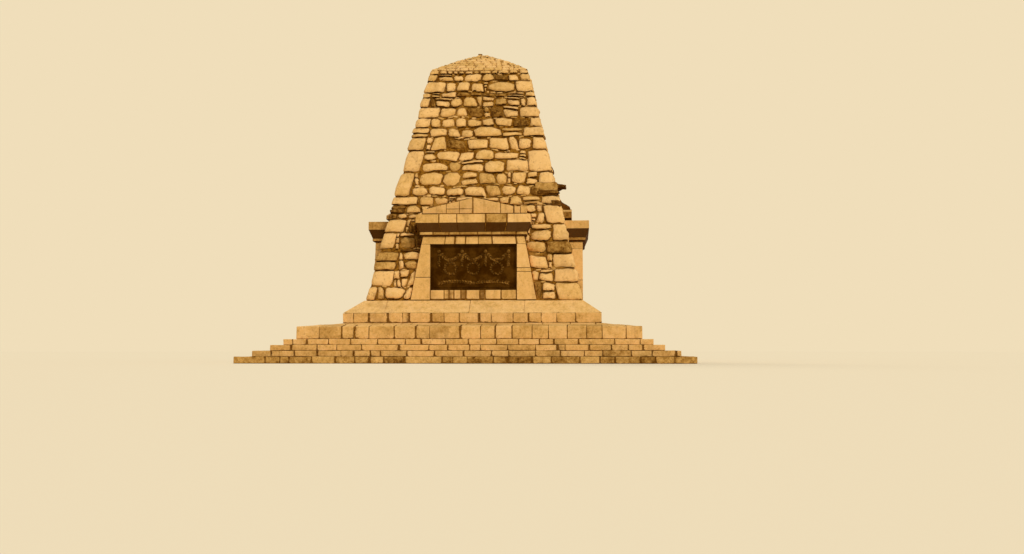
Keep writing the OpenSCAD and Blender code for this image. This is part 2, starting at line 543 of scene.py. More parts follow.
def block_blank(*levels, kind="dressed", cuts=(1 / 3, 2 / 3)):
    """A cube with two cuts across, and a cut at each level where a moulding changes its slope."""
    piece = add_cube((0, 0, 0), (1, 1, 1))
    for share in cuts:
        cut_through((share, 0, 0), (1, 0, 0))
    for level in levels:
        cut_through((0, 0, level), (0, 0, 1))
    return read_blank(piece, kind)


QUOIN = quoin_blank(2, 0.09, 0.2)
CRAG = quoin_blank(2, 0.04, 0.25)
CHIP = quoin_blank(0, 0.2, 0.3)
BLOCK = block_blank()
STEP_BLOCK = block_blank(0.2, kind="step", cuts=(0.1, 0.9))
STRING_BLOCK = block_blank(STRING_BEVEL / (cornice_foot - string_foot))
CORNICE_BLOCK = block_blank(SOFFIT_HEIGHT / (gable_foot - cornice_foot))
print("quoin", len(QUOIN["faces"]), "chip", len(CHIP["faces"]), "block", len(BLOCK["faces"]), "faces")

# %% [markdown]
# Laying a stone means fitting a blank into its gap. A gap has four edges, and each edge is a rule
# instead of a straight line: the left and right edges say how far across they are at a level, and
# the foot and top say how high they are at a place across. So two stones that share a wavy bed or a
# leaning joint follow the same line, as fitted stones do. The face is a rule as well, how far out
# the wall stands at a level, and it makes the batter and the mouldings. A number will do for a rule
# that stays at one value.

# %% Rules for edges
def rule(edge):
    """An edge as a rule, also where it is given as a number."""
    return edge if callable(edge) else (lambda at: edge + 0.0 * at)


def moved(edge, by):
    """The same edge a little further on."""
    return lambda at: rule(edge)(at) + by


def mirrored(edge):
    """The same edge on the other side of the middle."""
    return lambda at: -rule(edge)(at)


def part_way(low, high, share, tilt=0.0):
    """An edge between two others."""
    low, high = rule(low), rule(high)
    return lambda at: low(at) + (high(at) - low(at)) * (share + tilt * np.sin(3.0 * at))


def shares_of(lengths):
    """Where the joints of a row lie, as shares of its length."""
    return np.concatenate(([0.0], np.cumsum(lengths))) / sum(lengths)


print("joints of a row of three stones, as shares:", shares_of([1, 2, 1]))

# %% [markdown]
# All the stones of one piece are gathered first, and then its mesh is made in one go. Each stone
# carries two attributes that its material reads: its tone, and how far each of its points lies from
# the nearest joint, in metres. Inside a joint that distance is nothing.

# %% A piece of work
class Work:
    """The stones of one piece, and the side of the monument that they are laid on."""

    def __init__(self, side=0):
        self.side = side
        self.points, self.faces, self.tone, self.edge = [], [], [], []
        self.count = 0
        self.stones = 0

    def add(self, blank, points, tone, edge):
        """Adds a stone: the faces of its blank, with its own points and their attributes."""
        self.points.append(points)
        self.faces += [tuple(i + self.count for i in face) for face in blank["faces"]]
        self.tone.append(tone)
        self.edge.append(edge)
        self.count += len(points)
        self.stones += 1


def turned(points, side):
    """Points on the front, turned to another side."""
    angle = side * math.pi / 2
    x = points[:, 0] * round(math.cos(angle)) - points[:, 1] * round(math.sin(angle))
    y = points[:, 0] * round(math.sin(angle)) + points[:, 1] * round(math.cos(angle))
    return np.column_stack((x, y, points[:, 2]))


print("a point at the front, turned to the right:", turned(np.array([[0.0, -1.0, 0.0]]), 1)[0])

# %% [markdown]
# A stone is laid by stretching its blank between the edges of the gap. The edges lean and waver, so
# the place across and the level depend on each other, and a few rounds of fitting settle them. Then
# the face is turned a little and each point is moved a little, by dice that have a fixed seed, so
# that the same stones come out each time.

# %% Laying stones
SEED = 7
FITTING_ROUNDS = 3
FINE_JOINT = 0.006
BED_LINE_FADE = 1.8
JOINT_FADE_START = 0.003
FAR_FROM_JOINTS = 0.2

dice = random.Random(SEED)
roughness = np.random.default_rng(SEED)


def joint_distance(kind, depth, to_left, to_right, to_foot, to_top, to_back, joints):
    """How far each point of a stone lies from the nearest joint. A wide joint of dressed stone
    gets more grime and painted shade than a fine one, so its distances count for less."""
    if kind == "quoin":
        return np.minimum.reduce([to_foot, to_top, to_left, to_back])
    if kind == "rough":
        nearest = np.minimum.reduce([to_foot, to_top, to_left, to_right])
        return np.where(depth > 0.9 * RIM_DEPTH, 0.0, nearest)
    ends = [way * FINE_JOINT / joint for way, joint in zip((to_left, to_right), joints) if joint]
    # On a step the foot of the riser is darkened too: grime and painted shade under the step above.
    beds = [BED_LINE_FADE * to_foot] if kind == "step" else []
    return np.minimum.reduce(ends + beds) if ends + beds else np.full(len(depth), 1.0)


def lay(work, blank, gap, face, thick, tone=0.6, joints=(0.0, 0.0, 0.0, 0.0), rough=0.0,
        lean=(1.0, 0.0), fall=0.0, tilt=0.0, clean=1.0):
    """Copies a blank into a gap. joints are the left, right, foot and top ones, rough moves each
    point, lean is the way into the wall, fall tilts the top, tilt turns the face a little out of the
    wall, and clean is above 1 where a joint gets less grime and painted shade."""
    across, depth, up = blank["points"].T
    left, right, foot, top = (
        moved(edge, way * joint) for edge, way, joint in zip(gap, (1, -1, 1, -1), joints)
    )
    face = rule(face)
    middle_z = 0.5 * (foot(0.0) + top(0.0))
    middle_u = 0.5 * (left(middle_z) + right(middle_z))
    z = foot(middle_u) + (top(middle_u) - foot(middle_u)) * up
    for _ in range(FITTING_ROUNDS):
        u = left(z) + (right(z) - left(z)) * across
        z = foot(u) + (top(u) - foot(u)) * up
    inward = thick * depth
    edge = joint_distance(
        blank["kind"], depth, u - left(z), right(z) - u, z - foot(u), top(u) - z, thick - inward, joints
    )
    slope = up * fall * np.minimum(inward, np.maximum(face(z) - np.abs(u), 0.0))
    turn_u, turn_z = roughness.uniform(-tilt, tilt, 2)
    inward = inward + (turn_u * (across - 0.5) + turn_z * (up - 0.5)) * (1.0 - depth)
    points = np.column_stack((u, -face(z) + inward * lean[0], z + inward * lean[1] + slope))
    points = points + roughness.uniform(-rough, rough, points.shape) * (1.0, 0.5, 1.0)
    edge = np.clip(edge * clean + JOINT_FADE_START * (clean - 1.0), 0.0, FAR_FROM_JOINTS)
    work.add(blank, turned(points, work.side), np.full(len(points), tone), edge)


print("ready to lay stones, with seed", SEED)

# %% [markdown]
# When the stones of a piece are laid, its mesh is made. A bevel of one width wears all its arrises,
# and the faces are shaded smooth except where they turn by more than a crease. A rough stone is
# smooth nearly all over, while a dressed block keeps its flat faces.

# %% Building a piece
ROUND_CREASE = 80
WORN_ROUNDS = 2
WORN_ANGLE = 40


def new_object(name, mesh):
    piece = bpy.data.objects.new(name, mesh)
    bpy.context.scene.collection.objects.link(piece)
    return piece


def use_modifier(piece, kind, **settings):
    """Adds a modifier to the piece and applies it."""
    modifier = piece.modifiers.new(kind.lower(), kind)
    for key, value in settings.items():
        setattr(modifier, key, value)
    bpy.ops.object.modifier_apply(modifier=modifier.name)


def build(work, name, worn=0.0, crease=ROUND_CREASE):
    """Makes the mesh of a piece of work. worn is the width of its worn arrises, and an edge that
    turns by more than the crease, in degrees, stays sharp."""
    mesh = bpy.data.meshes.new(name)
    mesh.from_pydata(np.concatenate(work.points).tolist(), [], work.faces)
    for label, values in (("tone", work.tone), ("edge", work.edge)):
        layer = mesh.attributes.new(label, "FLOAT", "POINT")
        layer.data.foreach_set("value", np.concatenate(values).astype(np.float32))
    piece = new_object(name, mesh)
    hold(piece)
    if worn:
        use_modifier(
            piece, "BEVEL", width=worn, segments=WORN_ROUNDS, limit_method="ANGLE",
            angle_limit=math.radians(WORN_ANGLE),
        )
    bpy.ops.object.shade_smooth_by_angle(angle=math.radians(crease))
    return piece


def complete(work, name, finish, *nodes, **more):
    """Builds a piece of work and gives it its finish."""
    print(name, "is made of", work.stones, "stones")
    finish_piece(build(work, name, **more), name, finish, *nodes)


print("worn arrises are bevelled where they turn by more than", WORN_ANGLE, "degrees")

# %% [markdown]
# Before the stones are laid, their finishes are mixed, because each piece gets its material as it is
# built. The effects that all the stone shares are node groups, made once.
# Grain is what the eye reads as stone: fine crystals, small pits and the long dents that a hammer or
# a frost leaves. Its height feeds a bump node in each material, and its mask tints the colour, so
# that pits are darker as well as deeper.

# %% Group: stone grain
grain_group, (place, coarseness), grain_out = new_group(
    "stone grain", {"Coarseness": 1.0}, ("Height", "Pits")
)
fineness = 1.0 / coarseness
lumps = noise(place, fineness * 6.0, 6.0, 0.6)
crystals = noise(place, fineness * 45.0, 4.0, 0.7)
specks = noise(place, fineness * 17.0, 5.0, 0.62)
pits = between(specks, 0.53, 0.66) * between(lumps, 0.42, 0.6)
feed(grain_out, {"Height": lumps * 0.7 + crystals * 0.25 - pits * 0.3, "Pits": pits})
print("group", grain_group.name)

# %% [markdown]
# Weather draws on a wall in two ways. Rain washes dirt down in narrow streaks, so that pattern is a
# noise stretched along z. Lichen and soot settle in patches, a broad noise with a ragged edge. What
# faces down gets a dark brown as well: grime that the rain never washes off, and painted shade under
# every ledge, where the key light doesn't reach. The normal tells where that is.

# %% Groups: weather stains, and grime with painted shade on what faces down
stain_group, (place, patches, streaks), stain_out = new_group(
    "weather stains", {"Patches": 0.5, "Streaks": 0.5}, ("Mask",)
)
broad = noise(place, 0.9, 8.0, 0.62)
ragged = noise(place, 7.0, 6.0, 0.7)
patch = between(broad * 0.7 + ragged * 0.3, 0.50, 0.66) * patches
rain = noise(place, 5.0, 5.0, 0.6, stretch=(1.0, 1.0, 0.09))
rain = between(rain, 0.50, 0.72) * streaks
feed(stain_out, {"Mask": (patch + rain).clamped()})

# This mask is grime and painted shade: what faces down is darkened as if it lay in shadow.
shelter_group, (place, reach), shelter_out = new_group("shelter", {"Reach": 0.4}, ("Mask",))
facing = Wire(node(shelter_group, "NewGeometry"), "Normal")
up = Wire(node(shelter_group, "SeparateXYZ", {0: facing}), "Z")
uneven = noise(place, 6.0, 5.0, 0.6) * 0.16
feed(shelter_out, {"Mask": between(up * -1.0 + uneven, reach, reach + 0.12)})
print("groups", stain_group.name, "and", shelter_group.name)

# %% [markdown]
# The edges of a stone are darkened: partly grime that gathers there, and partly painted shade where
# the joint is recessed. The distance from the nearest joint is in metres, so the dark line has a real
# width, and noise makes it ragged. Round it lies a softer halo, partly the damp of the joint creeping
# into the stone and partly painted shade.

# %% Group: joint grime and painted shade
joint_dirt_shade_group, (place, width, raggedness), joint_dirt_shade_out = new_group(
    "joint dirt", {"Width": 0.03, "Raggedness": 1.0}, ("Mask", "Halo")
)
distance = attribute(joint_dirt_shade_group, "edge")
wander = (noise(place, 7.5, 5.0, 0.65) - 0.44) * raggedness
near = (wander + 1.3) * width - distance
blotches = between(noise(place, 4.2, 6.0, 0.6), 0.32, 0.66, 0.6, 5.0)
halo = (1.0 - distance / (blotches * width)).clamped()
feed(joint_dirt_shade_out, {"Mask": between(near, 0.0, width * 1.2), "Halo": halo})
print("group", joint_dirt_shade_group.name)

# %% [markdown]
# One recipe serves all the stone, with its own values for rubble, dressed stone and steps: a range
# of colours that the tone of each stone picks from, mottling inside a stone, dark pits, stains,
# grime and painted shade at the joints, and grime with painted shade on what faces down. A finish is
# a material and the slot of the record that it belongs to.

# %% Finishes of stone
BROWNED = paint(160, 114, 48)
DARKEST = paint(112, 72, 18)
NEAR_BLACK = paint(72, 40, 6)
HONEY = paint(204, 156, 82)
PALE = paint(228, 178, 102)
PALEST = paint(242, 192, 120)
# The colour at the edges of a stone: soot and grime, and painted shade of the joint.
JOINT_SOOT_AND_SHADE = paint(102, 60, 8)
# The colour of what faces down, such as the soffit: grime and painted shade.
UNDERSIDE_GRIME_AND_SHADE = paint(66, 33, 0)
STONE_RANGE = {0.0: NEAR_BLACK, 0.1: DARKEST, 0.25: BROWNED, 0.48: HONEY, 0.72: PALE, 1.0: PALEST}


def stone_finish(name, slot, coarse, mottle, patches, streaks, joint_width, ragged, halo, reach, bump):
    material, tree, place = new_material(name)
    fine = noise(place, 24.0, 5.0, 0.7)
    tone = attribute(tree, "tone")
    mottles = {1.0: noise(place, 2.6, 4.0, 0.6), 1.2: noise(place, 8.0, 6.0, 0.68), 0.8: fine}
    for share, pattern in mottles.items():
        tone = tone + (pattern - 0.5) * (share * mottle)
    ramp = node(tree, "ValToRGB", {"Fac": tone})
    for spot, (at, colour) in enumerate(STONE_RANGE.items()):
        stop = ramp.color_ramp.elements[spot] if spot < 2 else ramp.color_ramp.elements.new(at)
        stop.position = at
        stop.color = colour

    def effect(group, **values):
        return node(tree, "Group", {"Vector": place, **values}, node_tree=group)

    grain = effect(grain_group, Coarseness=coarse)
    stains = effect(stain_group, Patches=patches, Streaks=streaks)
    dirt_and_shade = effect(joint_dirt_shade_group, Width=joint_width, Raggedness=ragged)
    shelter = effect(shelter_group, Reach=reach)
    colour = blend(Wire(grain, "Pits") * 0.45, Wire(ramp, "Color"), BROWNED)
    colour = blend(Wire(stains, "Mask") * 0.6, colour, DARKEST)
    # Halo and mask darken a stone towards its joints: grime and damp, and painted shade of the recessed
    # joint.
    colour = blend(Wire(dirt_and_shade, "Halo") * halo, colour, BROWNED)
    colour = blend(Wire(dirt_and_shade, "Mask") * 0.85, colour, JOINT_SOOT_AND_SHADE)
    # What faces down gets grime and painted shade, darkest on the soffits.
    colour = blend(Wire(shelter, "Mask") * 0.94, colour, UNDERSIDE_GRIME_AND_SHADE)
    shade(
        tree, {"Height": Wire(grain, "Height"), "Strength": bump, "Distance": 0.03},
        Base_Color=colour, Roughness=between(fine, 0.2, 0.8, 0.82, 0.96), Specular_IOR_Level=0.06,
    )
    print("mixed", name)
    return material, slot


rubble_stone = stone_finish(
    "rubble stone", "rubble_stone", coarse=1.0, mottle=0.74, patches=0.40, streaks=0.25,
    joint_width=0.016, ragged=1.8, halo=0.34, reach=0.72, bump=0.9,
)
dressed_stone = stone_finish(
    "dressed stone", "dressed_stone", coarse=0.8, mottle=0.58, patches=0.36, streaks=0.42,
    joint_width=0.010, ragged=2.0, halo=0.4, reach=0.16, bump=0.45,
)
step_stone = stone_finish(
    "step stone", "step_stone", coarse=0.8, mottle=0.84, patches=0.50, streaks=0.30,
    joint_width=0.014, ragged=5.5, halo=0.40, reach=0.55, bump=0.6,
)

# %% [markdown]
# Mortar in a joint holds the damp, and its colour also carries painted shade for the deep joints, so
# it is much darker than the stone. Its own relief is coarse sand and crumbled lime. The pyramid lies
# open to the sun and was pointed nearly flush, so its lime is bleached.

# %% Finishes of mortar
def mortar_finish(name, dark, light, washed):
    material, tree, place = new_material(name)
    crumbs = noise(place, 11.0, 8.0, 0.72)
    clouds = noise(place, 2.4, 5.0, 0.6)
    colour = blend(between(crumbs, 0.42, 0.58), dark, light)
    colour = blend(between(clouds, 0.5, 0.7, 0.0, 0.5), colour, washed)
    shade(
        tree, {"Height": crumbs, "Distance": 0.02},
        Base_Color=colour, Roughness=between(crumbs, 0.2, 0.8, 0.9, 1.0), Specular_IOR_Level=0.06,
    )
    print("mixed", name)
    return material, "mortar"


mortar = mortar_finish("mortar", paint(98, 57, 4), paint(150, 101, 28), paint(184, 136, 62))
cap_lime = mortar_finish("cap lime", paint(140, 92, 34), paint(196, 146, 74), paint(224, 176, 104))

# %% [markdown]
# The steps are rows of blocks of uneven length. The rows at the front and back run from corner to
# corner, and those at the sides fill between them. The lengths at the front are a setting-out list
# in centimetres, from the left, and the other sides use the same stones in another order. Each list
# is scaled to fill its row. Three tones are the darkest, the palest and the most common one.

# %% Setting out of the dressed rows
STEP_TONES = {
    "step_1": (0.14, 0.62, 0.34),
    "step_2": (0.45, 0.85, 0.66),
    "step_3": (0.5, 0.9, 0.7),
    "step_4": (0.55, 0.95, 0.75),
}
FRONT_BLOCKS = {
    "step_1": "83 39 24 59 62 51 39 36 54 98 26 38 67 36 63 50 72 51 38 65 38 48 57",
    "step_2": "52 62 62 63 34 45 26 71 73 77 73 45 71 65 62 48 74 54 62 13",
    "step_3": "57 70 53 66 100 80 50 58 28 72 74 57 20 63 58 44 38 58",
    "step_4": "26 39 59 61 73 75 43 66 61 76 59 56 38 66 96 67 36",
    "base_course": "63 62 34 40 69 58 38 83 55 39 45 54 44 50 52 41 64 43",
    "plinth_course": "30 43 54 41 18 62 36 42 56 33 61 43 35 43 52 72",
}
print("blocks in a row:", {name: len(row.split()) for name, row in FRONT_BLOCKS.items()})

# %% [markdown]
# No two blocks of a real flight lie quite flush. Each block is sunk and set back by a few
# millimetres, most joints are tight, and some have opened. One helper lays a row, and four rows
# make the ring of a course.

# %% Laying dressed blocks
DRESSED_CREASE = 12
BLOCK_WAVER = 0.006
MOST_SUNK = 0.006
MOST_SET_BACK = 0.012
BED_JOINT = 0.004
TIGHT_JOINT = (0.0015, 0.003)
OPEN_JOINT = (0.004, 0.012)


def shuffled(words, side):
    """The same stones in another order for the other sides."""
    others = list(words)
    if side:
        random.Random(side * 31 + len(words)).shuffle(others)
    return others


def joints_of_row(number, open_share):
    """Half the width of each joint of a row: most are tight, and some have opened."""
    joints = [0.0]
    for _ in range(number - 1):
        opened = dice.random() < open_share
        joints.append(dice.uniform(*(OPEN_JOINT if opened else TIGHT_JOINT)))
    return joints + [0.0]


def lay_row(work, words, left, right, foot, top, face, thick, tones, open_share,
            bed_joint=BED_JOINT, fall=0.0, blank=STEP_BLOCK, clean=1.0):
    """Lays dressed blocks side by side. left and right are rules for the two ends of the row."""
    low, high = rule(left)(foot), rule(right)(foot)
    ends = [low + share * (high - low) for share in shares_of([float(word) for word in words])]
    ends[0], ends[-1] = left, right
    joints = joints_of_row(len(words), open_share)
    for spot in range(len(words)):
        lay(
            work, blank, (*ends[spot:spot + 2], foot, top - dice.uniform(0.0, MOST_SUNK)),
            moved(face, -dice.uniform(0.0, MOST_SET_BACK)), thick, tone=dice.triangular(*tones),
            joints=(*joints[spot:spot + 2], bed_joint, 0.0), rough=BLOCK_WAVER, fall=fall, clean=clean,
        )


def lay_ring(work, stones, foot, top, face, thick, tones=(0.5, 0.95, 0.72), open_share=0.75, **more):
    """Four rows that make one course of a square."""
    inner = rule(face)(foot) - thick
    for side in range(4):
        work.side = side
        left, right = (-inner, inner) if side % 2 else (mirrored(face), face)
        words = shuffled(stones, side)
        lay_row(work, words, left, right, foot, top, face, thick, tones, open_share, **more)


print("open joints are", OPEN_JOINT, "m wide on each side of their middle")

# %% [markdown]
# Each step reaches a little way under the one above it. The lowest step is the darkest, because the
# rain splashes earth on it, and the upper ones have fainter grime and painted shade at their joints.

# %% The steps
STEP_JOINT_FADE = 1.35
BEHIND_RISER = 0.12

for step, next_step in pairwise([*STEPS, "base_course"]):
    work = Work()
    tread = half_of(step) - half_of(next_step)
    lay_ring(
        work, FRONT_BLOCKS[step].split(), foot_of(step), top_of(step), half_of(step), tread + BEHIND_RISER,
        tones=STEP_TONES[step], clean=1.0 if step == "step_1" else STEP_JOINT_FADE,
    )
    complete(work, step + "_blocks", step_stone, step, worn=0.018, crease=DRESSED_CREASE)

# %% [markdown]
# The base course and the plinth course slope at the top. The base course is a row of blocks with a
# gentle wash and a row of flags behind them, and a fall in metres for each metre inwards tilts both.
# The plinth course is a row of upright blocks under steep weathering slabs, whose face leans in.

# %% Base course and plinth course
BLOCK_DEPTH = 0.55
UPRIGHT_DEPTH = 0.5
FLAG_SUNK = 0.1
FLAG_JOINT = 0.014
SLAB_TAIL = 0.2
SLAB_LENGTHS = "110 156 67 145 92 110"
wash_foot = base_foot + BASE_FACE
slope_foot = plinth_foot + PLINTH_FACE
wash_fall = (plinth_foot - wash_foot) / (base_half - plinth_half)


def weathering_face(z):
    """Half the width of the plinth course where its steep top leans in to the shaft."""
    share = (z - slope_foot) / (shaft_foot - slope_foot)
    return plinth_half + (jamb_face - plinth_half) * np.clip(share, 0.0, 1.0)


work = Work()
lay_ring(
    work, FRONT_BLOCKS["base_course"].split(), base_foot, wash_foot, base_half, BLOCK_DEPTH,
    open_share=0.6, tones=(0.5, 0.9, 0.7), fall=wash_fall, clean=STEP_JOINT_FADE,
)
lay_ring(
    work, FRONT_BLOCKS["step_2"].split()[2:15], base_foot + FLAG_SUNK, wash_foot + wash_fall * BLOCK_DEPTH,
    base_half - BLOCK_DEPTH - FLAG_JOINT, base_half - plinth_half - BLOCK_DEPTH + BEHIND_RISER,
    bed_joint=0.0, open_share=0.2, fall=wash_fall, blank=BLOCK, clean=6.0,
)
complete(work, "base_course_blocks", step_stone, "base_course", worn=0.015, crease=DRESSED_CREASE)

work = Work()
lay_ring(
    work, FRONT_BLOCKS["plinth_course"].split(), plinth_foot, slope_foot, plinth_half, UPRIGHT_DEPTH,
    open_share=0.5, tones=(0.58, 0.92, 0.78),
)
lay_ring(
    work, SLAB_LENGTHS.split(), slope_foot, shaft_foot, weathering_face,
    plinth_half - jamb_face + SLAB_TAIL, open_share=0.0, tones=(0.78, 0.9, 0.84), blank=BLOCK, clean=12.0,
)
complete(work, "plinth_course_blocks", step_stone, "plinth_course", worn=0.012, crease=DRESSED_CREASE)

# %% [markdown]
# Behind the blocks lies mortar, a little lower than their faces. It is one stepped mass, made from a
# slab whose top is inset by a tread and raised by a step, again and again, and at last drawn in to
# the foot of the shaft.

# %% Mortar of the plinth
JOINT_DEPTH = 0.022


def square_slab(half, foot, top):
    return add_cube((-half, -half, foot), (half, half, top))


def pick_top(piece):
    """Selects the top face, and measures half its width."""
    highest = max(v.co.z for v in bmesh.from_edit_mesh(piece.data).verts)
    pick(piece, "faces", lambda f: min(v.co.z for v in f.verts) > highest - 0.001)
    return max(v.co.x for f in bmesh.from_edit_mesh(piece.data).faces if f.select for v in f.verts)


def raise_top(piece, half, rise):
    """Insets the top face to a new half width and draws it up."""
    bpy.ops.mesh.inset(thickness=pick_top(piece) - half)
    extrude(z=rise)


def narrow_top(piece, half):
    """Draws the sides of the top face in, so that the walls below it lean."""
    share = half / pick_top(piece)
    bpy.ops.transform.resize(value=(share, share, 1.0))


piece = square_slab(half_of("step_1") - JOINT_DEPTH, 0.0, top_of("step_1") - JOINT_DEPTH)
for step in STEPS[1:]:
    raise_top(piece, half_of(step) - JOINT_DEPTH, top_of(step) - foot_of(step))
raise_top(piece, base_half - JOINT_DEPTH, BASE_FACE)
extrude(z=plinth_foot - wash_foot - JOINT_DEPTH)
narrow_top(piece, plinth_half - JOINT_DEPTH)
extrude(z=PLINTH_FACE + JOINT_DEPTH)
extrude(z=shaft_foot - slope_foot)
narrow_top(piece, jamb_face - JOINT_DEPTH)
bpy.ops.object.mode_set(mode="OBJECT")
finish_piece(piece, "plinth_mortar", mortar)

# %% [markdown]
# The shaft's mortar is a tapering core that lies a few centimetres behind the stone faces. Raked
# joints are never even, so it is subdivided and displaced by a cloud texture. The pyramid's is drawn
# up from a slab by short steps, each narrower than the one before.

# %% Mortar of the shaft and the cap
RAKED = 0.046
CAP_RAKED = 0.032
CORE_SUNK = 0.02
CORE_SHORT = 0.01
CORE_SLICES = 5
CORE_CUTS = 9
CORE_CREASE = 50
CAP_SLAB = 0.04
CAP_LEVELS = 6

core_foot = shaft_foot - CORE_SUNK
piece = square_slab(shaft_face(core_foot) - RAKED, core_foot, cap_foot - CORE_SHORT)
narrow_top(piece, cap_half - RAKED)
pick(piece, "edges", lambda e: abs(e.verts[0].co.z - e.verts[1].co.z) > 1)
bpy.ops.mesh.subdivide(number_cuts=CORE_SLICES)
bpy.ops.mesh.select_all(action="SELECT")
bpy.ops.mesh.subdivide(number_cuts=CORE_CUTS)
hold(piece)
clouds = bpy.data.textures.new("raked_joints", "CLOUDS")
clouds.noise_scale = 0.16
use_modifier(piece, "DISPLACE", texture=clouds, strength=0.035, mid_level=0.5)
bpy.ops.object.shade_smooth_by_angle(angle=math.radians(CORE_CREASE))
finish_piece(piece, "shaft_mortar", mortar, "shaft")

piece = square_slab(cap_half - CAP_RAKED, cap_foot - CAP_SLAB, cap_foot)
pick(piece, "faces", lambda f: f.normal.z > 0.9)
cap_levels = np.linspace(cap_foot, apex - 2 * CAP_RAKED, CAP_LEVELS)
for low, high in pairwise(cap_levels):
    extrude(z=high - low)
    if high < cap_levels[-1]:
        narrow_top(piece, float(cap_face(high)) - CAP_RAKED)
bpy.ops.mesh.merge(type="CENTER")
bpy.ops.object.mode_set(mode="OBJECT")
finish_piece(piece, "cap_mortar", cap_lime, "cap")

# %% [markdown]
# The front of the shaft is set out course by course, as a mason's bed plan would be. Each row gives
# the height of a course and its stones from left to right, all in centimetres. Beside the portal the
# two flanks have courses of their own. The first and last stones of a wall are its quoins. A letter
# after a width says more: d is a dark stone, m a half dark one, s two on top of each other, c a few
# small ones, t a thin one on top, o a boulder, b a nearly black one, soot together with painted
# shadow of the cornice beside the portal, p a pale one, x a gap where the joint has lost its stones.
# A caret is a quoin of the course above that runs down.

# %% Setting out of the front wall
UPPER_COURSES = [
    (24, "30 42t 30 50 35 38d 32 30"),
    (36, "62 31 43 41 9c 84 50"),
    (16, "24 24s 42 36d 30d 36d 30d 45s 27"),
    (31, "27 15d 46t 34 44 15 37s 36 40t 16 28"),
    (35, "65t 49 34 50d 18c 41d 47t 56"),
    (31, "46 31 43 36 46 38 57 50d 31"),
    (31, "50s 55 37 39o 84 64s 58"),
    (42, "50 18c 44 64do 64 61 28 42o 40t"),
    (32, "52 38t 75 46 61 78 22c 64"),
    (37, "^ 72 33 60t 55 60 ^"),
    (41, "45 12c 78 58 54s 55 36 12c 49 36s 46"),
    (34, "^ 48 52 52o 62 45 43 42 75d"),
    (26, "75 41 41 20c 60 60 29 35 50s 53"),
]
LEFT_FLANK = [
    (26, "45sd 47 30 35 50"),
    (18, "25d 30p 36p 20"),
    # The nearly black stones at the right ends of these rows, beside the portal, are soot and painted
    # shadow of the cornice.
    (40, "58p 12c 8b 17bt 36b"),
    (50, "40p 11c 50mt 28b"),
    (8, "60x 50b 40b"),
    (55, "64smo 14c 42sm"),
    (48, "64p 20c 24s 24"),
    (42, "28 20 58op 22"),
]
RIGHT_FLANK = [
    (24, "50 35 22 40 24 52"),
    (35, "24 20c 34 ^"),
    (52, "12c 46ot 42"),
    (38, "46o 68d"),
    (43, "52 14c 60"),
    (42, "24 46t 66"),
    (52, "24d 44s 70"),
]
UPPER = len(UPPER_COURSES)
corner_courses = [UPPER_COURSES + flank for flank in (RIGHT_FLANK, LEFT_FLANK, RIGHT_FLANK, LEFT_FLANK)]


def beds_of(courses):
    """The levels of the beds from the top of the shaft to its foot."""
    heights = [height for height, _ in courses]
    scale = (shaft_top - shaft_foot) / sum(heights)
    return [shaft_top - scale * sum(heights[:spot]) for spot in range(len(heights) + 1)]


corner_beds = [beds_of(courses) for courses in corner_courses]
print("courses at the corners:", [len(courses) for courses in corner_courses])

# %% [markdown]
# Corner 0 is the front one on the right, and the others follow it round, so a wall has the corner of
# its own number on its right and the one before it on its left. The other walls follow the same beds
# with stones of their own, drawn from seeded dice. The quoins tie the walls together: a stone that is
# long on one wall is short on the next one.

# %% Setting out of the other walls
CM = 0.01
LETTER_SHARES = {"": 60, "d": 9, "s": 8, "c": 6, "t": 9, "o": 8}
STONE_WIDTHS = (14.0, 84.0)
PILE_WIDTH = 16.0
LONG_QUOIN = (0.46, 0.66)
SHORT_QUOIN = (0.26, 0.36)
ANY_QUOIN = (0.28, 0.68)
RUNS_DOWN_SHARE = 0.16
LEAST_SPACE = 0.2
LONG_SHARE = 0.8
LONG_STONE = (0.85, 2.1)
SHORT_STONE = (0.4, 0.8)


def measure(word):
    """The width of a stone in metres, and the letters after it."""
    digits = word.rstrip("bdmsctolpx")
    return float(digits) * CM, word[len(digits):]


def dealt_course(height, width):
    """A course of random stones, about as wide as the wall. Most are longer than they are high."""
    words = []
    while width > LEAST_SPACE:
        share = dice.uniform(*(LONG_STONE if dice.random() < LONG_SHARE else SHORT_STONE))
        size = min(max(height * share, STONE_WIDTHS[0]), STONE_WIDTHS[1])
        letter = dice.choices(list(LETTER_SHARES), list(LETTER_SHARES.values()))[0]
        size = PILE_WIDTH if letter == "c" else size
        words.append(f"{size:.0f}{letter}")
        width -= size * CM
    return words


def quoin_table(corner):
    """For each course at a corner: its lengths on the two walls, or None where a quoin runs down."""
    rows = []
    for _, text in corner_courses[corner]:
        word = {0: text.split()[-1], 3: text.split()[0]}.get(corner, "")
        if word == "^" or (not word and rows and rows[-1] and dice.random() < RUNS_DOWN_SHARE):
            rows.append(None)
            continue
        length, letters = measure(word) if word else (dice.uniform(*ANY_QUOIN), "")
        back = dice.uniform(*(SHORT_QUOIN if length > LONG_QUOIN[0] else LONG_QUOIN))
        on_this, on_next = (back, length) if corner == 3 else (length, back)
        rows.append({"this": on_this, "next": on_next, "letters": letters})
    return rows


def quoin_at(corner, spot):
    """The quoin that stands in a course, which may have started in the course above."""
    return quoins[corner][spot] or quoins[corner][spot - 1]


quoins = [quoin_table(corner) for corner in range(4)]
print("quoins:", sum(row is not None for rows in quoins for row in rows))

# %% [markdown]
# A bed wavers a little between the quoins, and above the portal the stones are cut to the rake of
# its pediment. The rules for these edges come first. Two waves make a bed: each has its height in
# metres, how fast it swings, and how far its start moves from one bed to the next.

# %% Beds of the walls
FREE_REACH = 0.6
FADE = 0.35
RAKE_JOINT = 0.04
GABLE_MARGIN = 0.06
WAVES = ((0.026, 2.1, 1.0), (0.018, 5.3, 2.2))


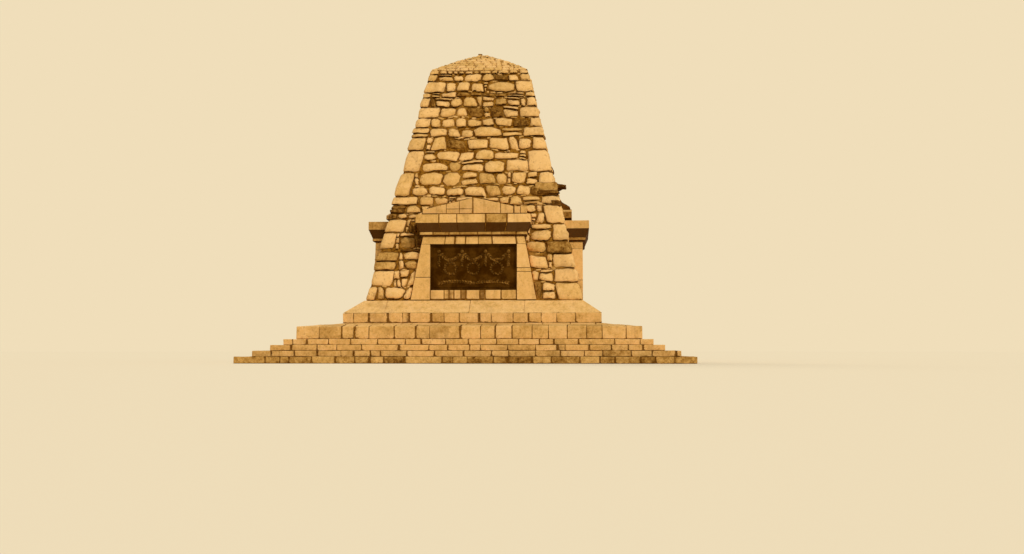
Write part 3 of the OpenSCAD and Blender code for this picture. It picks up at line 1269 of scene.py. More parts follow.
def wavy_bed(z, side):
    """A bed that wavers, and is straight at the quoins."""
    phase = 7.3 * z + 2.9 * side
    free = shaft_face(z) - FREE_REACH

    def bed(u):
        swell = sum(height * np.sin(swing * u + start * phase) for height, swing, start in WAVES)
        return z + swell * np.clip((free - np.abs(u)) / FADE, 0.0, 1.0)

    return bed


def rake(u):
    """The sloped top of the pediment."""
    return gable_top - (gable_top - gable_foot - GABLE_END) * np.abs(u) / gable_x


def beds_of_course(foot_z, top_z, side):
    """The two beds of a course. The lower one stays a joint's width above the pediment."""
    foot, top = wavy_bed(foot_z, side), wavy_bed(top_z, side)
    if top_z < gable_foot:
        return foot, top

    def clear(u):
        above = np.maximum(foot(u), rake(u) + RAKE_JOINT)
        return np.minimum(np.where(np.abs(u) < gable_x - GABLE_MARGIN, above, foot(u)), top(u))

    return clear, top


print("the pediment rises", round(gable_top - gable_foot, 3), "m above the cornice")

# %% [markdown]
# Most stones of the wall are pale, some are half dark, and a letter in the setting-out list asks for
# a tone of its own.

# %% Tones of the rubble
# b is nearly black: soot, and painted shadow of the cornice beside the portal.
LETTER_TONES = {"b": (0.0, 0.05), "p": (0.8, 1.0), "d": (0.1, 0.26), "m": (0.34, 0.5)}
HALF_DARK_SHARE = 0.08
HALF_DARK = (0.4, 0.54)
PALE_TONES = (0.64, 1.06, 0.92)


def random_tone(letters):
    """The tone that a letter asks for, or one that is pale on most stones."""
    for letter, tones in LETTER_TONES.items():
        if letter in letters:
            return dice.uniform(*tones)
    if dice.random() < HALF_DARK_SHARE:
        return dice.uniform(*HALF_DARK)
    return dice.triangular(*PALE_TONES)


print("tones of the letters:", LETTER_TONES)

# %% [markdown]
# No stone of rubble fills its gap quite: each takes one of the rough blanks, and its edges are
# loosened, so that no joint is even. Where the rake of the pediment leaves too little room for a
# stone, none is laid, and a stone beside the rake is cut to the room that there is.

# %% One stone of rubble
RUBBLE_JOINT = 0.009
RUBBLE_DEPTH = 0.25
PLACES = 13
LEAST_PLACES = 4
LEAST_HEIGHT = 0.05
TRIM = 0.01
MOST_SLACK = 0.013
MOST_ROUGH = 0.017
PROUD = (-0.03, 0.02)
KINDS = ["squared", "blocky", "rounded", "arched", "boat", "hipped", "lozenge", "rounded", "rounded"]


def loosened(edge, at, most, turn):
    """An edge drawn in by up to most, and turned a little about one place on it."""
    by, slant = dice.uniform(0.0, most), dice.uniform(-turn, turn)
    return lambda here: edge(here) + by + slant * (here - at)


def lay_rough(work, gap, letters="", joint=RUBBLE_JOINT, looseness=1.0, clean=1.0):
    """Lays a rough stone where its gap is open."""
    left, right, foot, top = gap
    kind = "oval" if "o" in letters else dice.choice(KINDS)
    proud = dice.uniform(*PROUD)
    level_z = float(top(0.0))
    across = np.linspace(float(left(level_z)), float(right(level_z)), PLACES)
    across = across[top(across) - foot(across) > LEAST_HEIGHT]
    if len(across) < LEAST_PLACES:
        return
    if across[0] > left(level_z) + TRIM:
        left = rule(across[0])
    if across[-1] < right(level_z) - TRIM:
        right = rule(across[-1])
    mid_u = 0.5 * (across[0] + across[-1])
    mid_z = float(0.5 * (foot(mid_u) + top(mid_u)))
    wide, high = float(right(mid_z) - left(mid_z)), float(top(mid_u) - foot(mid_u))
    slack = looseness * min(MOST_SLACK, 0.05 * min(wide, high))
    gap = (
        loosened(left, mid_z, slack, 0.1 * looseness), loosened(right, mid_z, -slack, 0.1 * looseness),
        loosened(foot, mid_u, slack, 0.05 * looseness), loosened(top, mid_u, -slack, 0.05 * looseness),
    )
    lay(
        work, ROUGH[kind], gap, moved(shaft_face, proud), RUBBLE_DEPTH, tone=random_tone(letters),
        joints=4 * (joint,), rough=min(MOST_ROUGH, 0.07 * high), tilt=0.07, clean=clean,
    )


print("ready to lay", len(set(KINDS)), "kinds of rough stones, and boulders")

# %% [markdown]
# A chip is a small stone, seldom level, that sits a little deeper than the stones round it.

# %% One chip
CHIP_HALF_WIDTH = (0.035, 0.11)
CHIP_HALF_HEIGHT = (0.02, 0.042)
CHIP_DEPTH = 0.15
CHIP_SUNK = (-0.045, -0.012)
CHIP_TONES = (0.4, 1.0)
CHIP_TURN = 0.25


def lay_chip(work, u, z):
    """A small stone that pins a gap in the joints."""
    half_wide, half_high = dice.uniform(*CHIP_HALF_WIDTH), dice.uniform(*CHIP_HALF_HEIGHT)
    turn = dice.uniform(-CHIP_TURN, CHIP_TURN)
    foot = (lambda at: z - half_high + turn * (at - u))
    top = (lambda at: z + half_high + turn * (at - u))
    face = moved(shaft_face, dice.uniform(*CHIP_SUNK))
    lay(
        work, CHIP, (u - half_wide, u + half_wide, foot, top), face, CHIP_DEPTH,
        tone=dice.uniform(*CHIP_TONES), rough=0.014, clean=2.0, tilt=0.03,
    )


print("a chip is up to", 2 * CHIP_HALF_WIDTH[1], "m wide")

# %% [markdown]
# A word of the setting-out list can ask for more than one stone: two on top of each other, a thin one
# on a thick one, or a pile of small ones. A stone that comes out too low for its course gets a chip
# on top. One helper reads the letters and lays what they say.

# %% One word of the list
PILE_JOINT = 0.006
WIDE_PILE = 0.24
SHORT_SHARE = 0.3


def lay_pile(work, gap):
    """A pile of two or three small stones of any size. A wide one has two side by side at its foot."""
    left, right, foot, top = gap
    number = dice.choice((2, 2, 3))
    level_z = float(foot(0.0))
    for low, high in pairwise(shares_of([dice.uniform(0.6, 1.4) for _ in range(number)])):
        beds = [part_way(foot, top, share, 0.04) for share in (low, high)]
        edges = [left, right]
        if low == 0.0 and right(level_z) - left(level_z) > WIDE_PILE:
            edges.insert(1, part_way(left, right, dice.uniform(0.35, 0.65)))
        for ends in pairwise(edges):
            lay_rough(work, (*ends, *beds), joint=PILE_JOINT, looseness=1.3, clean=2.2)


def lay_word(work, word, gap):
    """Lays what one word of the setting-out list asks for."""
    left, right, foot, top = gap
    letters = measure(word)[1]
    if "x" in letters:
        return
    if "s" in letters:
        bed = part_way(foot, top, dice.uniform(0.42, 0.6), 0.05)
        lay_rough(work, (left, right, foot, bed), letters)
        lay_rough(work, (left, right, bed, top))
    elif "t" in letters:
        bed = part_way(foot, top, dice.uniform(0.68, 0.76), 0.05)
        lay_rough(work, (left, right, foot, bed), letters)
        lay_rough(work, (left, right, bed, top), "p")
    elif "c" in letters:
        lay_pile(work, gap)
    elif dice.random() < SHORT_SHARE:
        share = dice.uniform(0.86, 0.94)
        lay_rough(work, (left, right, foot, part_way(foot, top, share, 0.02)), letters)
        high_z = float(top(0.0))
        u = float(left(high_z) + dice.uniform(0.25, 0.75) * (right(high_z) - left(high_z)))
        lay_chip(work, u, float(top(u) - 0.4 * (1.0 - share) * (top(u) - foot(u))))
    else:
        lay_rough(work, gap, letters)


print("a pile has two stones at its foot where it is wider than", WIDE_PILE, "m")

# %% [markdown]
# Now the walls are laid, course by course. Every upright joint leans its own way, and beside the
# portal the joints turn gradually into the line of the jamb. The other walls get as many stones as
# fit between their quoins.

# %% Laying the rubble
FIRST_BED = 0.025
PORTAL_GAP = 0.01
SHELF_START = 0.55
MOST_LEAN = 0.34
CHIP_SHARE = 0.8


def lay_course(work, words, start, stop, beds, mid_z):
    """Fills a course from start to stop, which are rules for its two ends."""
    start, stop = rule(start), rule(stop)
    edges = [start]
    for share in shares_of([measure(word)[0] for word in words])[1:-1]:
        lean = dice.uniform(-MOST_LEAN, MOST_LEAN)
        edges.append(lambda z, s=share, t=lean: start(z) + s * (stop(z) - start(z)) + t * (z - mid_z))
    for word, (left, right) in zip(words, pairwise([*edges, stop])):
        lay_word(work, word, (left, right, *beds))
        if dice.random() < CHIP_SHARE:
            u = float(right(mid_z)) + dice.uniform(-0.03, 0.03)
            bed = beds[0] if dice.random() < 0.5 else beds[1]
            lay_chip(work, u, float(bed(u)) + dice.uniform(-0.02, 0.02))


def lay_upper_wall(work):
    """The courses above the portal, from quoin to quoin."""
    for spot, (height, text) in enumerate(UPPER_COURSES):
        top_z, foot_z = corner_beds[work.side][spot:spot + 2]
        mid_z = (top_z + foot_z) / 2
        start = quoin_at(work.side - 1, spot)["next"] - shaft_face(mid_z)
        stop = shaft_face(mid_z) - quoin_at(work.side, spot)["this"]
        words = dealt_course(height, stop - start) if work.side else text.split()[1:-1]
        lay_course(work, words, start, stop, beds_of_course(foot_z, top_z, work.side), mid_z)


def lay_flank(work, hand):
    """The courses on one side of the portal. hand is 1 on the right and -1 on the left."""
    corner, ends = (work.side, "this") if hand > 0 else ((work.side - 1) % 4, "next")
    for spot in range(UPPER, len(corner_courses[corner])):
        height, text = corner_courses[corner][spot]
        top_z, foot_z = corner_beds[corner][spot:spot + 2]
        foot_z = max(foot_z, shaft_foot + FIRST_BED)
        mid_z = (top_z + foot_z) / 2
        quoin_end = hand * (shaft_face(mid_z) - quoin_at(corner, spot)[ends])
        inner = rule(SHELF_START) if spot == UPPER else portal_edge
        portal_end = (lambda z, edge=inner: hand * (edge(z) - PORTAL_GAP))
        start, stop = (portal_end, quoin_end) if hand > 0 else (quoin_end, portal_end)
        if work.side:
            words = dealt_course(height, float(rule(stop)(mid_z) - rule(start)(mid_z)))
        else:
            words = text.split()[:-1] if hand > 0 else text.split()[1:]
        lay_course(work, words, start, stop, beds_of_course(foot_z, top_z, work.side), mid_z)


for side, name in enumerate(SIDES):
    work = Work(side)
    lay_upper_wall(work)
    lay_flank(work, -1)
    lay_flank(work, 1)
    complete(work, name + "_rubble", rubble_stone, "shaft")

# %% [markdown]
# A quoin wraps the corner: it is laid on one wall like any stone, and its thickness is its length on
# the next wall. Its outer edge follows the arris. One rock at the front right corner was left
# untrimmed: a few dark lumps make its body, its ragged underside and the beak that sticks out of the
# arris, and a small dark stone sits below it. Their places are measured from that corner.

# %% Laying the quoins
QUOIN_JOINT = 0.012
QUOIN_OVERLAP = 0.01
QUOIN_PROUD = (-0.012, 0.03)
ROCK_LEVEL = 5.09
ROCK_DEPTH = 0.42
BEAK_LENGTH = 0.3
ROCK_LUMPS = [
    {"from": -0.60, "to": 0.04, "foot": -0.10, "top": 0.17, "tip": 0.0, "proud": 0.03, "tone": 0.40},
    {"from": -0.56, "to": 0.05, "foot": -0.175, "top": -0.09, "tip": 0.0, "proud": 0.05, "tone": 0.02},
    {"from": -0.03, "to": 0.30, "foot": -0.04, "top": 0.155, "tip": 0.065, "proud": 0.0, "tone": 0.06},
    {"from": -0.23, "to": 0.04, "foot": -0.57, "top": -0.39, "tip": 0.02, "proud": 0.05, "tone": 0.02},
]


def lay_quoin(work, row, foot_z, top_z):
    """Lays a quoin, or two on top of each other where its letters say so."""
    start = shaft_face((foot_z + top_z) / 2) - row["this"]
    arris = moved(shaft_face, dice.uniform(*QUOIN_PROUD))
    beds = [foot_z, top_z]
    if "s" in row["letters"]:
        beds.insert(1, foot_z + (top_z - foot_z) * dice.uniform(0.4, 0.6))
    for low, high in pairwise(beds):
        mid_z, slant = (low + high) / 2, dice.uniform(-0.2, 0.2)
        inner = (lambda z, z0=mid_z, t=slant: start + QUOIN_OVERLAP + t * (z - z0))
        lay(
            work, QUOIN, (inner, arris, low, high), arris, row["next"] - QUOIN_JOINT,
            tone=random_tone(row["letters"]), joints=(QUOIN_JOINT, 0.0, QUOIN_JOINT, QUOIN_JOINT),
            rough=0.022, tilt=0.05,
        )


def lay_lump(work, lump):
    """Lays a lump of the rock. Past the arris it narrows from above and below by its tip."""
    arris = shaft_face(ROCK_LEVEL + 0.5 * (lump["foot"] + lump["top"]))
    narrow = (lambda u: lump["tip"] * np.clip((u - arris) / BEAK_LENGTH, 0.0, 1.0))
    foot = (lambda u: ROCK_LEVEL + lump["foot"] + narrow(u))
    top = (lambda u: ROCK_LEVEL + lump["top"] - narrow(u))
    lay(
        work, CRAG, (arris + lump["from"], arris + lump["to"], foot, top), arris + lump["proud"],
        ROCK_DEPTH, tone=lump["tone"], rough=0.025,
    )


work = Work()
for corner, beds in enumerate(corner_beds):
    work.side = corner
    for spot, row in enumerate(quoins[corner]):
        if row is None or "x" in row["letters"]:
            continue
        runs_down = spot + 2 < len(beds) and quoins[corner][spot + 1] is None
        lay_quoin(work, row, beds[spot + 2] if runs_down else beds[spot + 1], beds[spot])
work.side = 0
for lump in ROCK_LUMPS:
    lay_lump(work, lump)
complete(work, "quoins", rubble_stone, "shaft")

# %% [markdown]
# On top of the rubble lies a level course of thin flat stones, and on it the pyramid of small stones
# that sheds the rain. The pyramid's courses follow its slope: the same helper lays them, with a face
# that leans in much faster, and the stones point square into the slope.

# %% Levelling course and cap
LEAST_STONE = 0.06
CAP_COURSES = 7
APEX_SHARE = 0.6
APEX_OUT = 0.08
APEX_DEPTH = 0.16
APEX_STONES = [(-0.15, -0.03, 0.13, 0.0, 0.12), (-0.04, 0.13, 0.16, 0.055, 0.7)]
slope_length = math.hypot(cap_half, apex - cap_foot)
into_slope = ((apex - cap_foot) / slope_length, -cap_half / slope_length)


def small_ring(work, foot, top, face, sizes, corner_length, thick, joint, tones, clean, uneven,
               lean=(1.0, 0.0)):
    """A ring of small rough stones with corner stones. uneven is how far their tops and faces differ."""
    reach = face((foot + top) / 2)
    bed = 0.7 * joint
    for side in range(4):
        work.side = side
        corner, back = [min(corner_length * dice.uniform(0.8, 1.25), 0.8 * reach) for _ in range(2)]
        lay(
            work, QUOIN, (reach - corner, face, foot, top), face, back, tone=dice.triangular(*tones),
            joints=(joint, 0.0, bed, bed), rough=0.018, clean=clean,
        )
        u = -reach + corner_length
        while u < reach - corner_length - LEAST_STONE:
            size = min(dice.uniform(*sizes), reach - corner_length - u)
            lay(
                work, ROUGH[dice.choice(KINDS)], (u, u + size, foot, top - dice.uniform(0.0, uneven)),
                moved(face, dice.uniform(-uneven, uneven)), thick, tone=dice.triangular(*tones),
                joints=(joint, joint, bed, bed), rough=0.012, lean=lean,
                clean=clean if u > 0.0 else 0.5 * clean,
            )
            u += size


work = Work()
small_ring(
    work, shaft_top, cap_foot, shaft_face, sizes=(0.16, 0.4), corner_length=0.3, thick=0.22,
    joint=0.016, tones=(0.55, 1.0, 0.85), clean=2.0, uneven=0.02,
)
complete(work, "levelling_stones", rubble_stone, "levelling_course")

work = Work()
course_rise = (apex - cap_foot) / (CAP_COURSES + APEX_SHARE)
for spot in range(CAP_COURSES):
    foot = cap_foot + spot * course_rise
    small_ring(
        work, foot, foot + course_rise, cap_face, sizes=(0.12, 0.34), corner_length=0.2, thick=0.12,
        joint=0.004, tones=(0.5, 1.0, 0.9), clean=6.0, uneven=0.012, lean=into_slope,
    )
work.side = 0
for start, stop, below_foot, below_top, tone in APEX_STONES:
    lay(
        work, CRAG, (start, stop, apex - below_foot, apex - below_top), APEX_OUT, APEX_DEPTH,
        tone=tone, rough=0.014, clean=3.0,
    )
complete(work, "cap_stones", rubble_stone, "cap")

# %% [markdown]
# A portal is dressed stone. Its face stands plumb while the wall behind it leans away. Each part is
# a row of blocks or a pile of them, cut to the outline of its part, and the string and the cornice
# turn back at their ends because their end blocks follow the profile there as well. The rows stand in
# one table, with everything that tells them apart. The lintel and the string, right under the
# cornice, get darker tones.

# %% Parts of the portal
BROKEN_TOP = 0.28
LOW_BED = 0.21


def string_reach(z):
    """How far the string stands beyond the lintel: a bevel, and then an upright face."""
    return STRING_OUT * np.clip((z - string_foot) / STRING_BEVEL, 0.0, 1.0)


def cornice_reach(z):
    """How far the cornice stands beyond the lintel: a leaning soffit, and then the fascia."""
    share = np.clip((z - cornice_foot) / SOFFIT_HEIGHT, 0.0, 1.0)
    return STRING_OUT + (cornice_x - string_x) * share


def beyond(place, reach):
    """A face or an end that stands out by a rule of its own."""
    return lambda z: place + reach(z)


PORTAL_ROWS = {
    "sill": {
        "stones": "41 14 14 20 14m 40 14 46 45m", "right": panel_x, "foot": shaft_foot,
        "top": panel_foot, "face": jamb_face, "blank": STEP_BLOCK, "thick": 0.35,
        "open_share": 1.0, "foot_joint": 0.03, "tones": (0.62, 0.94, 0.8),
    },
    "lintel": {
        "stones": "65m 28 30 36 39m 68 24", "right": portal_edge, "foot": lintel_foot,
        "top": string_foot, "face": jamb_face, "blank": BLOCK, "thick": 0.62,
        "open_share": 0.7, "foot_joint": 0.003, "tones": (0.56, 0.88, 0.72),
    },
    "string": {
        "stones": "38 46 30 52 40 26 44 30", "right": beyond(lintel_x, string_reach),
        "foot": string_foot, "top": cornice_foot, "face": beyond(jamb_face, string_reach),
        "blank": STRING_BLOCK, "thick": 0.78,
        "open_share": 0.3, "foot_joint": 0.002, "tones": (0.2, 0.6, 0.36),
    },
    "cornice": {
        "stones": "67m 51 83 60d 67", "right": beyond(lintel_x, cornice_reach),
        "foot": cornice_foot, "top": gable_foot, "face": beyond(jamb_face, cornice_reach),
        "blank": CORNICE_BLOCK, "thick": 0.95,
        "open_share": 0.7, "foot_joint": 0.002, "tones": (0.62, 0.94, 0.8),
    },
    "pediment": {
        "stones": "69 38s 39s 81 38 19l 18l", "right": gable_x, "foot": gable_foot, "top": rake,
        "face": gable_face, "blank": BLOCK, "thick": 0.6,
        "open_share": 0.4, "foot_joint": 0.082, "tones": (0.62, 0.94, 0.8),
    },
}
# End blocks drawn darker in the front view: stain, and at the left portal's cornice and string also
# painted shade.
STAINED_AND_SHADED_ENDS = {
    ("right", "pediment"): (0, "b"),
    ("left", "cornice"): (-1, "d"),
    ("left", "string"): (-1, "d"),
}
print("blocks in the rows:", {part: len(row["stones"].split()) for part, row in PORTAL_ROWS.items()})

# %% [markdown]
# The stones of each part are lengths in centimetres again, with m or d for a stained block, b for a
# nearly black one, s for two blocks on top of each other, and l for one whose top has broken away
# lower. The rows of the right and left sides run the other way round, and a few blocks at the ends of
# rows that the front view shows are darker as well: on the left portal's cornice and string this is
# stain and painted shade of the side away from the light, and on the right pediment it is a nearly
# black block.

# %% Rows of the portals
PORTAL_WAVER = 0.003
PORTAL_SET_BACK = 0.006
INNER_BED_JOINT = 0.008
TOP_JOINT = 0.002
DARKEST_BLOCK_TONE = 0.2
STAINED_TONE = 0.38
HALF_STAINED = (0.5, 0.6)


def block_tone(letters, tones):
    """The tone of a dressed block, from the letters after its length."""
    if "b" in letters:
        return DARKEST_BLOCK_TONE
    if "d" in letters:
        return STAINED_TONE
    if "m" in letters:
        return dice.uniform(*HALF_STAINED)
    return dice.triangular(*tones)


def portal_row(side, part, row):
    """One row of dressed blocks as a piece of work."""
    work = Work(side)
    words = row["stones"].split()[::1 if side % 2 == 0 else -1]
    end, letter = STAINED_AND_SHADED_ENDS.get((SIDES[side], part), (0, ""))
    words[end] += letter
    shares = shares_of([measure(word)[0] for word in words])
    joints = joints_of_row(len(words), row["open_share"])
    if part == "sill":
        joints[0] = joints[-1] = OPEN_JOINT[1]
    foot, right = row["foot"], row["right"]
    for spot, word in enumerate(words):
        ends = [part_way(mirrored(right), right, share) for share in shares[spot:spot + 2]]
        beds = [foot, foot + BROKEN_TOP if "l" in word else row["top"]]
        if "s" in word:
            beds.insert(1, foot + LOW_BED)
        foot_joint = row["foot_joint"]
        for low, high in pairwise(beds):
            lay(
                work, row["blank"], (*ends, low, high),
                moved(row["face"], -dice.uniform(0.0, PORTAL_SET_BACK)), row["thick"],
                tone=block_tone(word, row["tones"]), rough=PORTAL_WAVER,
                joints=(*joints[spot:spot + 2], foot_joint, TOP_JOINT),
            )
            foot_joint = INNER_BED_JOINT
    return work


print("tone of a stained block:", STAINED_TONE)

# %% [markdown]
# A jamb is a pile instead of a row, and its outer edge leans in. With the piles the portal is
# complete, and every part of it replaces its own solid.

# %% Jambs and whole portals
JAMBS = {"left_jamb": "66 95", "right_jamb": "81 11 68"}
JAMB_DEPTH = 0.55
JAMB_SET_BACK = 0.005
JAMB_FOOT_JOINT = 0.02
JAMB_TONES = (0.6, 0.88, 0.74)


def jamb_pile(side, part, text):
    """The blocks of a jamb from the foot up."""
    work = Work(side)
    ends = (panel_x, portal_edge) if part == "right_jamb" else (mirrored(portal_edge), -panel_x)
    shares = shares_of([measure(word)[0] for word in text.split()])
    foot_joint = JAMB_FOOT_JOINT
    for low, high in pairwise(shaft_foot + shares * (lintel_foot - shaft_foot)):
        lay(
            work, STEP_BLOCK, (*ends, low, high), jamb_face - dice.uniform(0.0, JAMB_SET_BACK),
            JAMB_DEPTH, tone=dice.triangular(*JAMB_TONES), joints=(0.0, 0.0, foot_joint, 0.0),
            rough=PORTAL_WAVER,
        )
        foot_joint = INNER_BED_JOINT
    return work


for side, name in enumerate(SIDES):
    works = {part: portal_row(side, part, row) for part, row in PORTAL_ROWS.items()}
    works |= {part: jamb_pile(side, part, text) for part, text in JAMBS.items()}
    for part, work in works.items():
        node_name = f"{name}_{part}"
        complete(work, node_name + "_stones", dressed_stone, node_name, worn=0.007, crease=DRESSED_CREASE)

# %% [markdown]
# An open joint would let the eye through to nothing, so the rows get a bed of mortar: the same
# outlines once more, as two long stones each, drawn in a little on every side.

# %% Mortar of the portals
BED_BACK = 0.014
GABLE_BED_SHORT = 0.42
BED_CREASE = 38

for side, name in enumerate(SIDES):
    work = Work(side)
    for part, row in PORTAL_ROWS.items():
        end = moved(row["right"], -GABLE_BED_SHORT if part == "pediment" else -BED_BACK)
        beds = (row["foot"] + 0.5 * BED_BACK, moved(row["top"], -0.5 * BED_BACK))
        for start, stop in ((mirrored(end), 0.0), (0.0, end)):
            lay(
                work, row["blank"], (start, stop, *beds), moved(row["face"], -BED_BACK),
                row["thick"] - 2 * BED_BACK,
            )
    complete(work, name + "_portal_mortar", mortar, crease=BED_CREASE)

# %% [markdown]
# A loose stone lies on the shelf above the right gable, against the wall.

# %% Loose stone
LOOSE_HALF = 0.11
LOOSE_OUT = 2.74
LOOSE_DEPTH = 0.3
LOOSE_CREASE = 50

work = Work(SIDES.index("right"))
lay(
    work, CRAG, (-LOOSE_HALF, LOOSE_HALF, gable_top - 0.02, gable_top + 0.05), LOOSE_OUT,
    LOOSE_DEPTH, tone=0.04, rough=0.02, fall=0.6,
)
complete(work, "loose_stone", rubble_stone, crease=LOOSE_CREASE)

# %% [markdown]
# The panel is cast bronze, set a hand's width behind the face of the portal. Its border could be a
# frame of four strips, but a caster makes it in one with the plate, and so it is inset here: a flat
# rim, a bead, and then the sunk field.

# %% Plate of the panel
RIM_WIDTH = 0.045
RIM_OUT = 0.015
BEAD = 0.012
PLATE_DEPTH = 0.04
plate_face = face_of("front_panel") - RIM_OUT


def panel_plate():
    piece = add_cube(
        (-panel_x, -plate_face - RIM_OUT, panel_foot), (panel_x, -plate_face + PLATE_DEPTH, panel_top)
    )
    pick_front(piece)
    bpy.ops.mesh.inset(thickness=RIM_WIDTH)
    for width, depth in ((0.5, -RIM_OUT), (1.5, 0.0), (0.5, 0.6 * BEAD), (0.5, 0.0), (0.5, -0.6 * BEAD)):
        bpy.ops.mesh.inset(thickness=width * BEAD, depth=depth)
    bpy.ops.object.mode_set(mode="OBJECT")
    return piece


print("plate", round(2 * panel_x, 3), "m wide and", round(panel_top - panel_foot, 3), "m high")

# %% [markdown]
# The relief is a common one of laurel: swags and drops that hang from rosettes, wreaths under the
# swags, and two branches along the foot. One leaf, one rosette, one berry and one twig are modelled,
# a metre long, and pressed into the plate as often as they are needed, as a modeller does in wax.

# %% Blanks of the relief
DISC_MIDDLE = (0.5, -0.35, 0)


def disc(points_round):
    """A disc that faces the viewer, from a little behind the plate to a full height before it."""
    start_clean()
    bpy.ops.mesh.primitive_cylinder_add(
        vertices=points_round, radius=0.5, depth=1.3, location=DISC_MIDDLE, rotation=(math.pi / 2, 0, 0)
    )
    return to_edit_mode()


def leaf_blank():
    piece = disc(8)
    cut_through((0, 0, 0), (0, 0, 1))
    cut_through((0.4, 0, 0), (1, 0, 0))
    pick(piece, "verts", lambda v: v.co.y < -0.9 and (abs(v.co.z) > 0.01 or v.co.x < 0.1 or v.co.x > 0.9))
    bpy.ops.transform.translate(value=(0, 0.55, 0))
    return read_blank(piece, "relief")


def rosette_blank():
    def draw_in(share):
        bpy.ops.transform.resize(value=(share, 1, share), center_override=DISC_MIDDLE)

    piece = disc(16)
    pick(piece, "verts", lambda v: round(math.degrees(math.atan2(v.co.z, v.co.x - 0.5))) % 45 > 5)
    draw_in(0.72)
    pick_front(piece)
    bpy.ops.transform.translate(value=(0, 0.5, 0))
    extrude(y=-0.3)
    draw_in(0.5)
    extrude(y=0.15)
    draw_in(0.7)
    bpy.ops.mesh.poke(offset=0.35)
    return read_blank(piece, "relief")


def berry_blank():
    start_clean()
    bpy.ops.mesh.primitive_ico_sphere_add(subdivisions=1, radius=0.5, location=(0.5, -0.4, 0))
    return read_blank(to_edit_mode(), "relief")


def twig_blank():
    piece = add_cube((0, -0.8, -0.5), (1, 0.3, 0.5))
    pick(piece, "edges", lambda e: middle(e).y < -0.7 and abs(middle(e).z) > 0.4)
    bpy.ops.mesh.bevel(offset=0.3, segments=1, affect="EDGES")
    return read_blank(piece, "relief")


LEAF, ROSETTE, BERRY, TWIG = leaf_blank(), rosette_blank(), berry_blank(), twig_blank()
print("faces of a leaf", len(LEAF["faces"]), "and of a rosette", len(ROSETTE["faces"]))

# %% [markdown]
# A garland is a twig that follows a path, with a pair of leaves at even steps and a berry at every
# other one. The path is given by a rule from 0 to 1, so the same helper makes the swags, the drops,
# the wreaths and the branches.

# %% Garlands
LEAF_LENGTH = 0.105
LEAF_WIDTH = 0.042
LEAF_HEIGHT = 0.024
LEAF_SPREAD = math.radians(32)
BERRY_SIZE = 0.026
BERRY_HEIGHT = 0.034
TWIG_WIDTH = 0.016


def press(work, blank, u, z, angle, length, width, height, tone):
    """Presses a relief blank into the plate. Its root is at u, z and it points along the angle."""
    along, out, across = blank["points"].T
    x = u + length * along * math.cos(angle) - width * across * math.sin(angle)
    up = z + length * along * math.sin(angle) + width * across * math.cos(angle)
    points = np.column_stack((x, -plate_face + height * out, up))
    # The tone rises with a point's height, so the bronze shows the high places lighter: rubbed metal and
    # painted highlight.
    tones = np.clip(tone - 0.6 * (out + 0.2), 0.0, 1.0)
    work.add(blank, points, tones, np.full(len(along), FAR_FROM_JOINTS))


def garland(work, path, steps, size=1.0):
    """Leaves along a path, which is a rule that turns a share from 0 to 1 into a place."""
    for step in range(steps):
        (u, z), (u_next, z_next) = path(step / steps), path((step + 1) / steps)
        heading = math.atan2(z_next - z, u_next - u)
        stride = math.hypot(u_next - u, z_next - z)
        press(work, TWIG, u, z, heading, 1.1 * stride, TWIG_WIDTH * size, 0.7 * LEAF_HEIGHT, 0.25)
        for hand in (-1, 1):
            turn = heading + hand * LEAF_SPREAD * dice.uniform(0.8, 1.2)
            reach = LEAF_LENGTH * size * dice.uniform(0.9, 1.1)
            press(work, LEAF, u, z, turn, reach, LEAF_WIDTH * size, LEAF_HEIGHT, dice.uniform(0.1, 0.4))
        if step % 2:
            up = z + 0.03 * size * (1 if step % 4 == 1 else -1)
            berry = (BERRY_SIZE * size, BERRY_SIZE * size, BERRY_HEIGHT)
            press(work, BERRY, u - 0.5 * BERRY_SIZE, up, 0.0, *berry, dice.uniform(0.3, 0.6))


def press_rosette(work, u, z, size, height):
    """Presses a rosette whose middle is at u, z."""
    press(work, ROSETTE, u - 0.5 * size, z, 0.0, size, size, height, 0.3)


print("a leaf is", LEAF_LENGTH, "m long")

# %% [markdown]
# Four studs along the top carry the relief. A drop hangs from each, swags hang between them with a
# wreath below, and two branches meet in the middle of the foot.

# %% Relief of laurel
STUDS = (-1.0, -0.335, 0.335, 1.0)
STUD_LEVEL = panel_top - 0.2
SWAG_SAG = 0.2
WREATH_RADIUS = 0.17
WREATH_MIDDLE = panel_foot + 0.62
BRANCH_LEVEL = panel_foot + 0.2
DROP_LENGTH = 0.36


def drop_path(stud):
    """Straight down from a stud."""
    return lambda t: (stud, STUD_LEVEL - 0.07 - DROP_LENGTH * t)


def swag_path(start, stop):
    """From a stud down to the lowest place, half way to the next stud."""
    return lambda t: (start + (stop - start) * t, STUD_LEVEL - 0.05 - SWAG_SAG * (1 - (1 - t) ** 2))


def wreath_path(centre, hand):
    """Half round a wreath from its foot, on the right or on the left."""
    return lambda t: (
        centre + hand * WREATH_RADIUS * math.sin(math.pi * t),
        WREATH_MIDDLE - WREATH_RADIUS * math.cos(math.pi * t),
    )


def branch_path(hand):
    """Along the foot of the panel, from its middle outwards."""
    return lambda t: (hand * (0.04 + 0.98 * t), BRANCH_LEVEL + 0.05 * math.sin(math.pi * t))


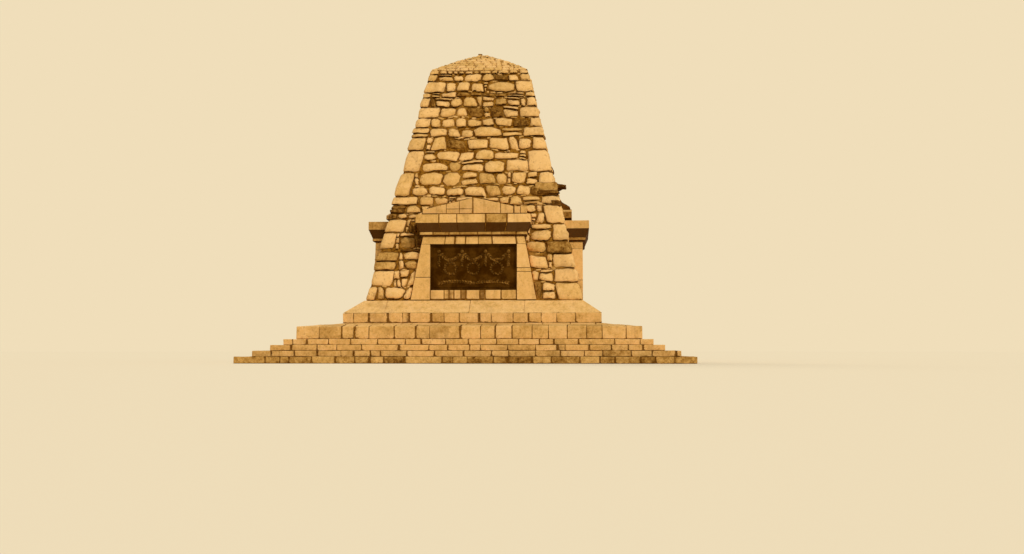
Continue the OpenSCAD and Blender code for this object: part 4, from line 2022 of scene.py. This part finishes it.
relief = Work()
for stud in STUDS:
    garland(relief, drop_path(stud), 6, 0.8)
    press_rosette(relief, stud, STUD_LEVEL, 0.13, 0.03)
for left, right in pairwise(STUDS):
    centre = (left + right) / 2
    garland(relief, swag_path(left + 0.05, centre), 6)
    garland(relief, swag_path(right - 0.05, centre), 6)
    press_rosette(relief, centre, STUD_LEVEL - 0.05 - SWAG_SAG, 0.08, 0.036)
    for hand in (-1, 1):
        garland(relief, wreath_path(centre, hand), 8, 0.72)
for hand in (-1, 1):
    garland(relief, branch_path(hand), 13, 0.95)
press_rosette(relief, 0.0, BRANCH_LEVEL, 0.1, 0.034)
print("relief:", relief.stones, "pressings")

# %% [markdown]
# Old bronze is brown, nearly black in the hollows, and the high places are lighter: partly metal that
# hands and weather rub bare, partly painted highlight. Patina dulls it in patches, so both the metal
# and the gloss change over the surface.

# %% Finish of bronze
material, tree, place = new_material("weathered bronze")
patches = noise(place, 3.4, 6.0, 0.65)
cast_grain = noise(place, 60.0, 5.0, 0.7)
colour = blend(between(patches, 0.38, 0.66), paint(56, 30, 0), paint(84, 52, 6))
colour = blend(between(cast_grain, 0.5, 0.7, 0.0, 0.5), colour, paint(40, 21, 0))
# A lighter metal colour on the high places: rubbed metal and painted highlight.
rubbed_and_highlit = between(attribute(tree, "tone"), 0.3, 0.95) * between(patches, 0.3, 0.6, 0.35, 1.0)
colour = blend(rubbed_and_highlit, colour, paint(154, 112, 50))
shade(
    tree, {"Height": cast_grain + patches, "Strength": 0.5, "Distance": 0.006},
    Base_Color=colour, Metallic=between(patches, 0.35, 0.7, 0.95, 0.7), Specular_IOR_Level=0.1,
    Roughness=between(cast_grain, 0.25, 0.75, 0.42, 0.62),
)
bronze = (material, "bronze")
print("mixed", material.name)

# %% [markdown]
# The plate and the relief become one casting, and the other three sides get castings from the same
# mould: copies of the front one, turned to their side. Behind each plate the rubble backing of the
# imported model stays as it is, and only gets mortar for its finish.

# %% Bronze panels
CAST_CREASE = 40


def turned_copy(piece, side):
    mesh = piece.data.copy()
    points = np.empty(3 * len(mesh.vertices))
    mesh.vertices.foreach_get("co", points)
    mesh.vertices.foreach_set("co", turned(points.reshape(-1, 3), side).ravel())
    mesh.update()
    return new_object(piece.name, mesh)


plate = panel_plate()
casting = build(relief, "front_bronze_panel", crease=CAST_CREASE)
plate.select_set(True)
bpy.ops.object.join()
for side, name in enumerate(SIDES):
    piece = turned_copy(casting, side) if side else casting
    finish_piece(piece, name + "_bronze_panel", bronze, name + "_panel")
    bpy.data.objects[name + "_backing"].material_slots[0].material = mortar[0]

# %% [markdown]
# The stones may stand a little proud of the packed model, and no more.

# %% Finish
bpy.context.view_layer.update()
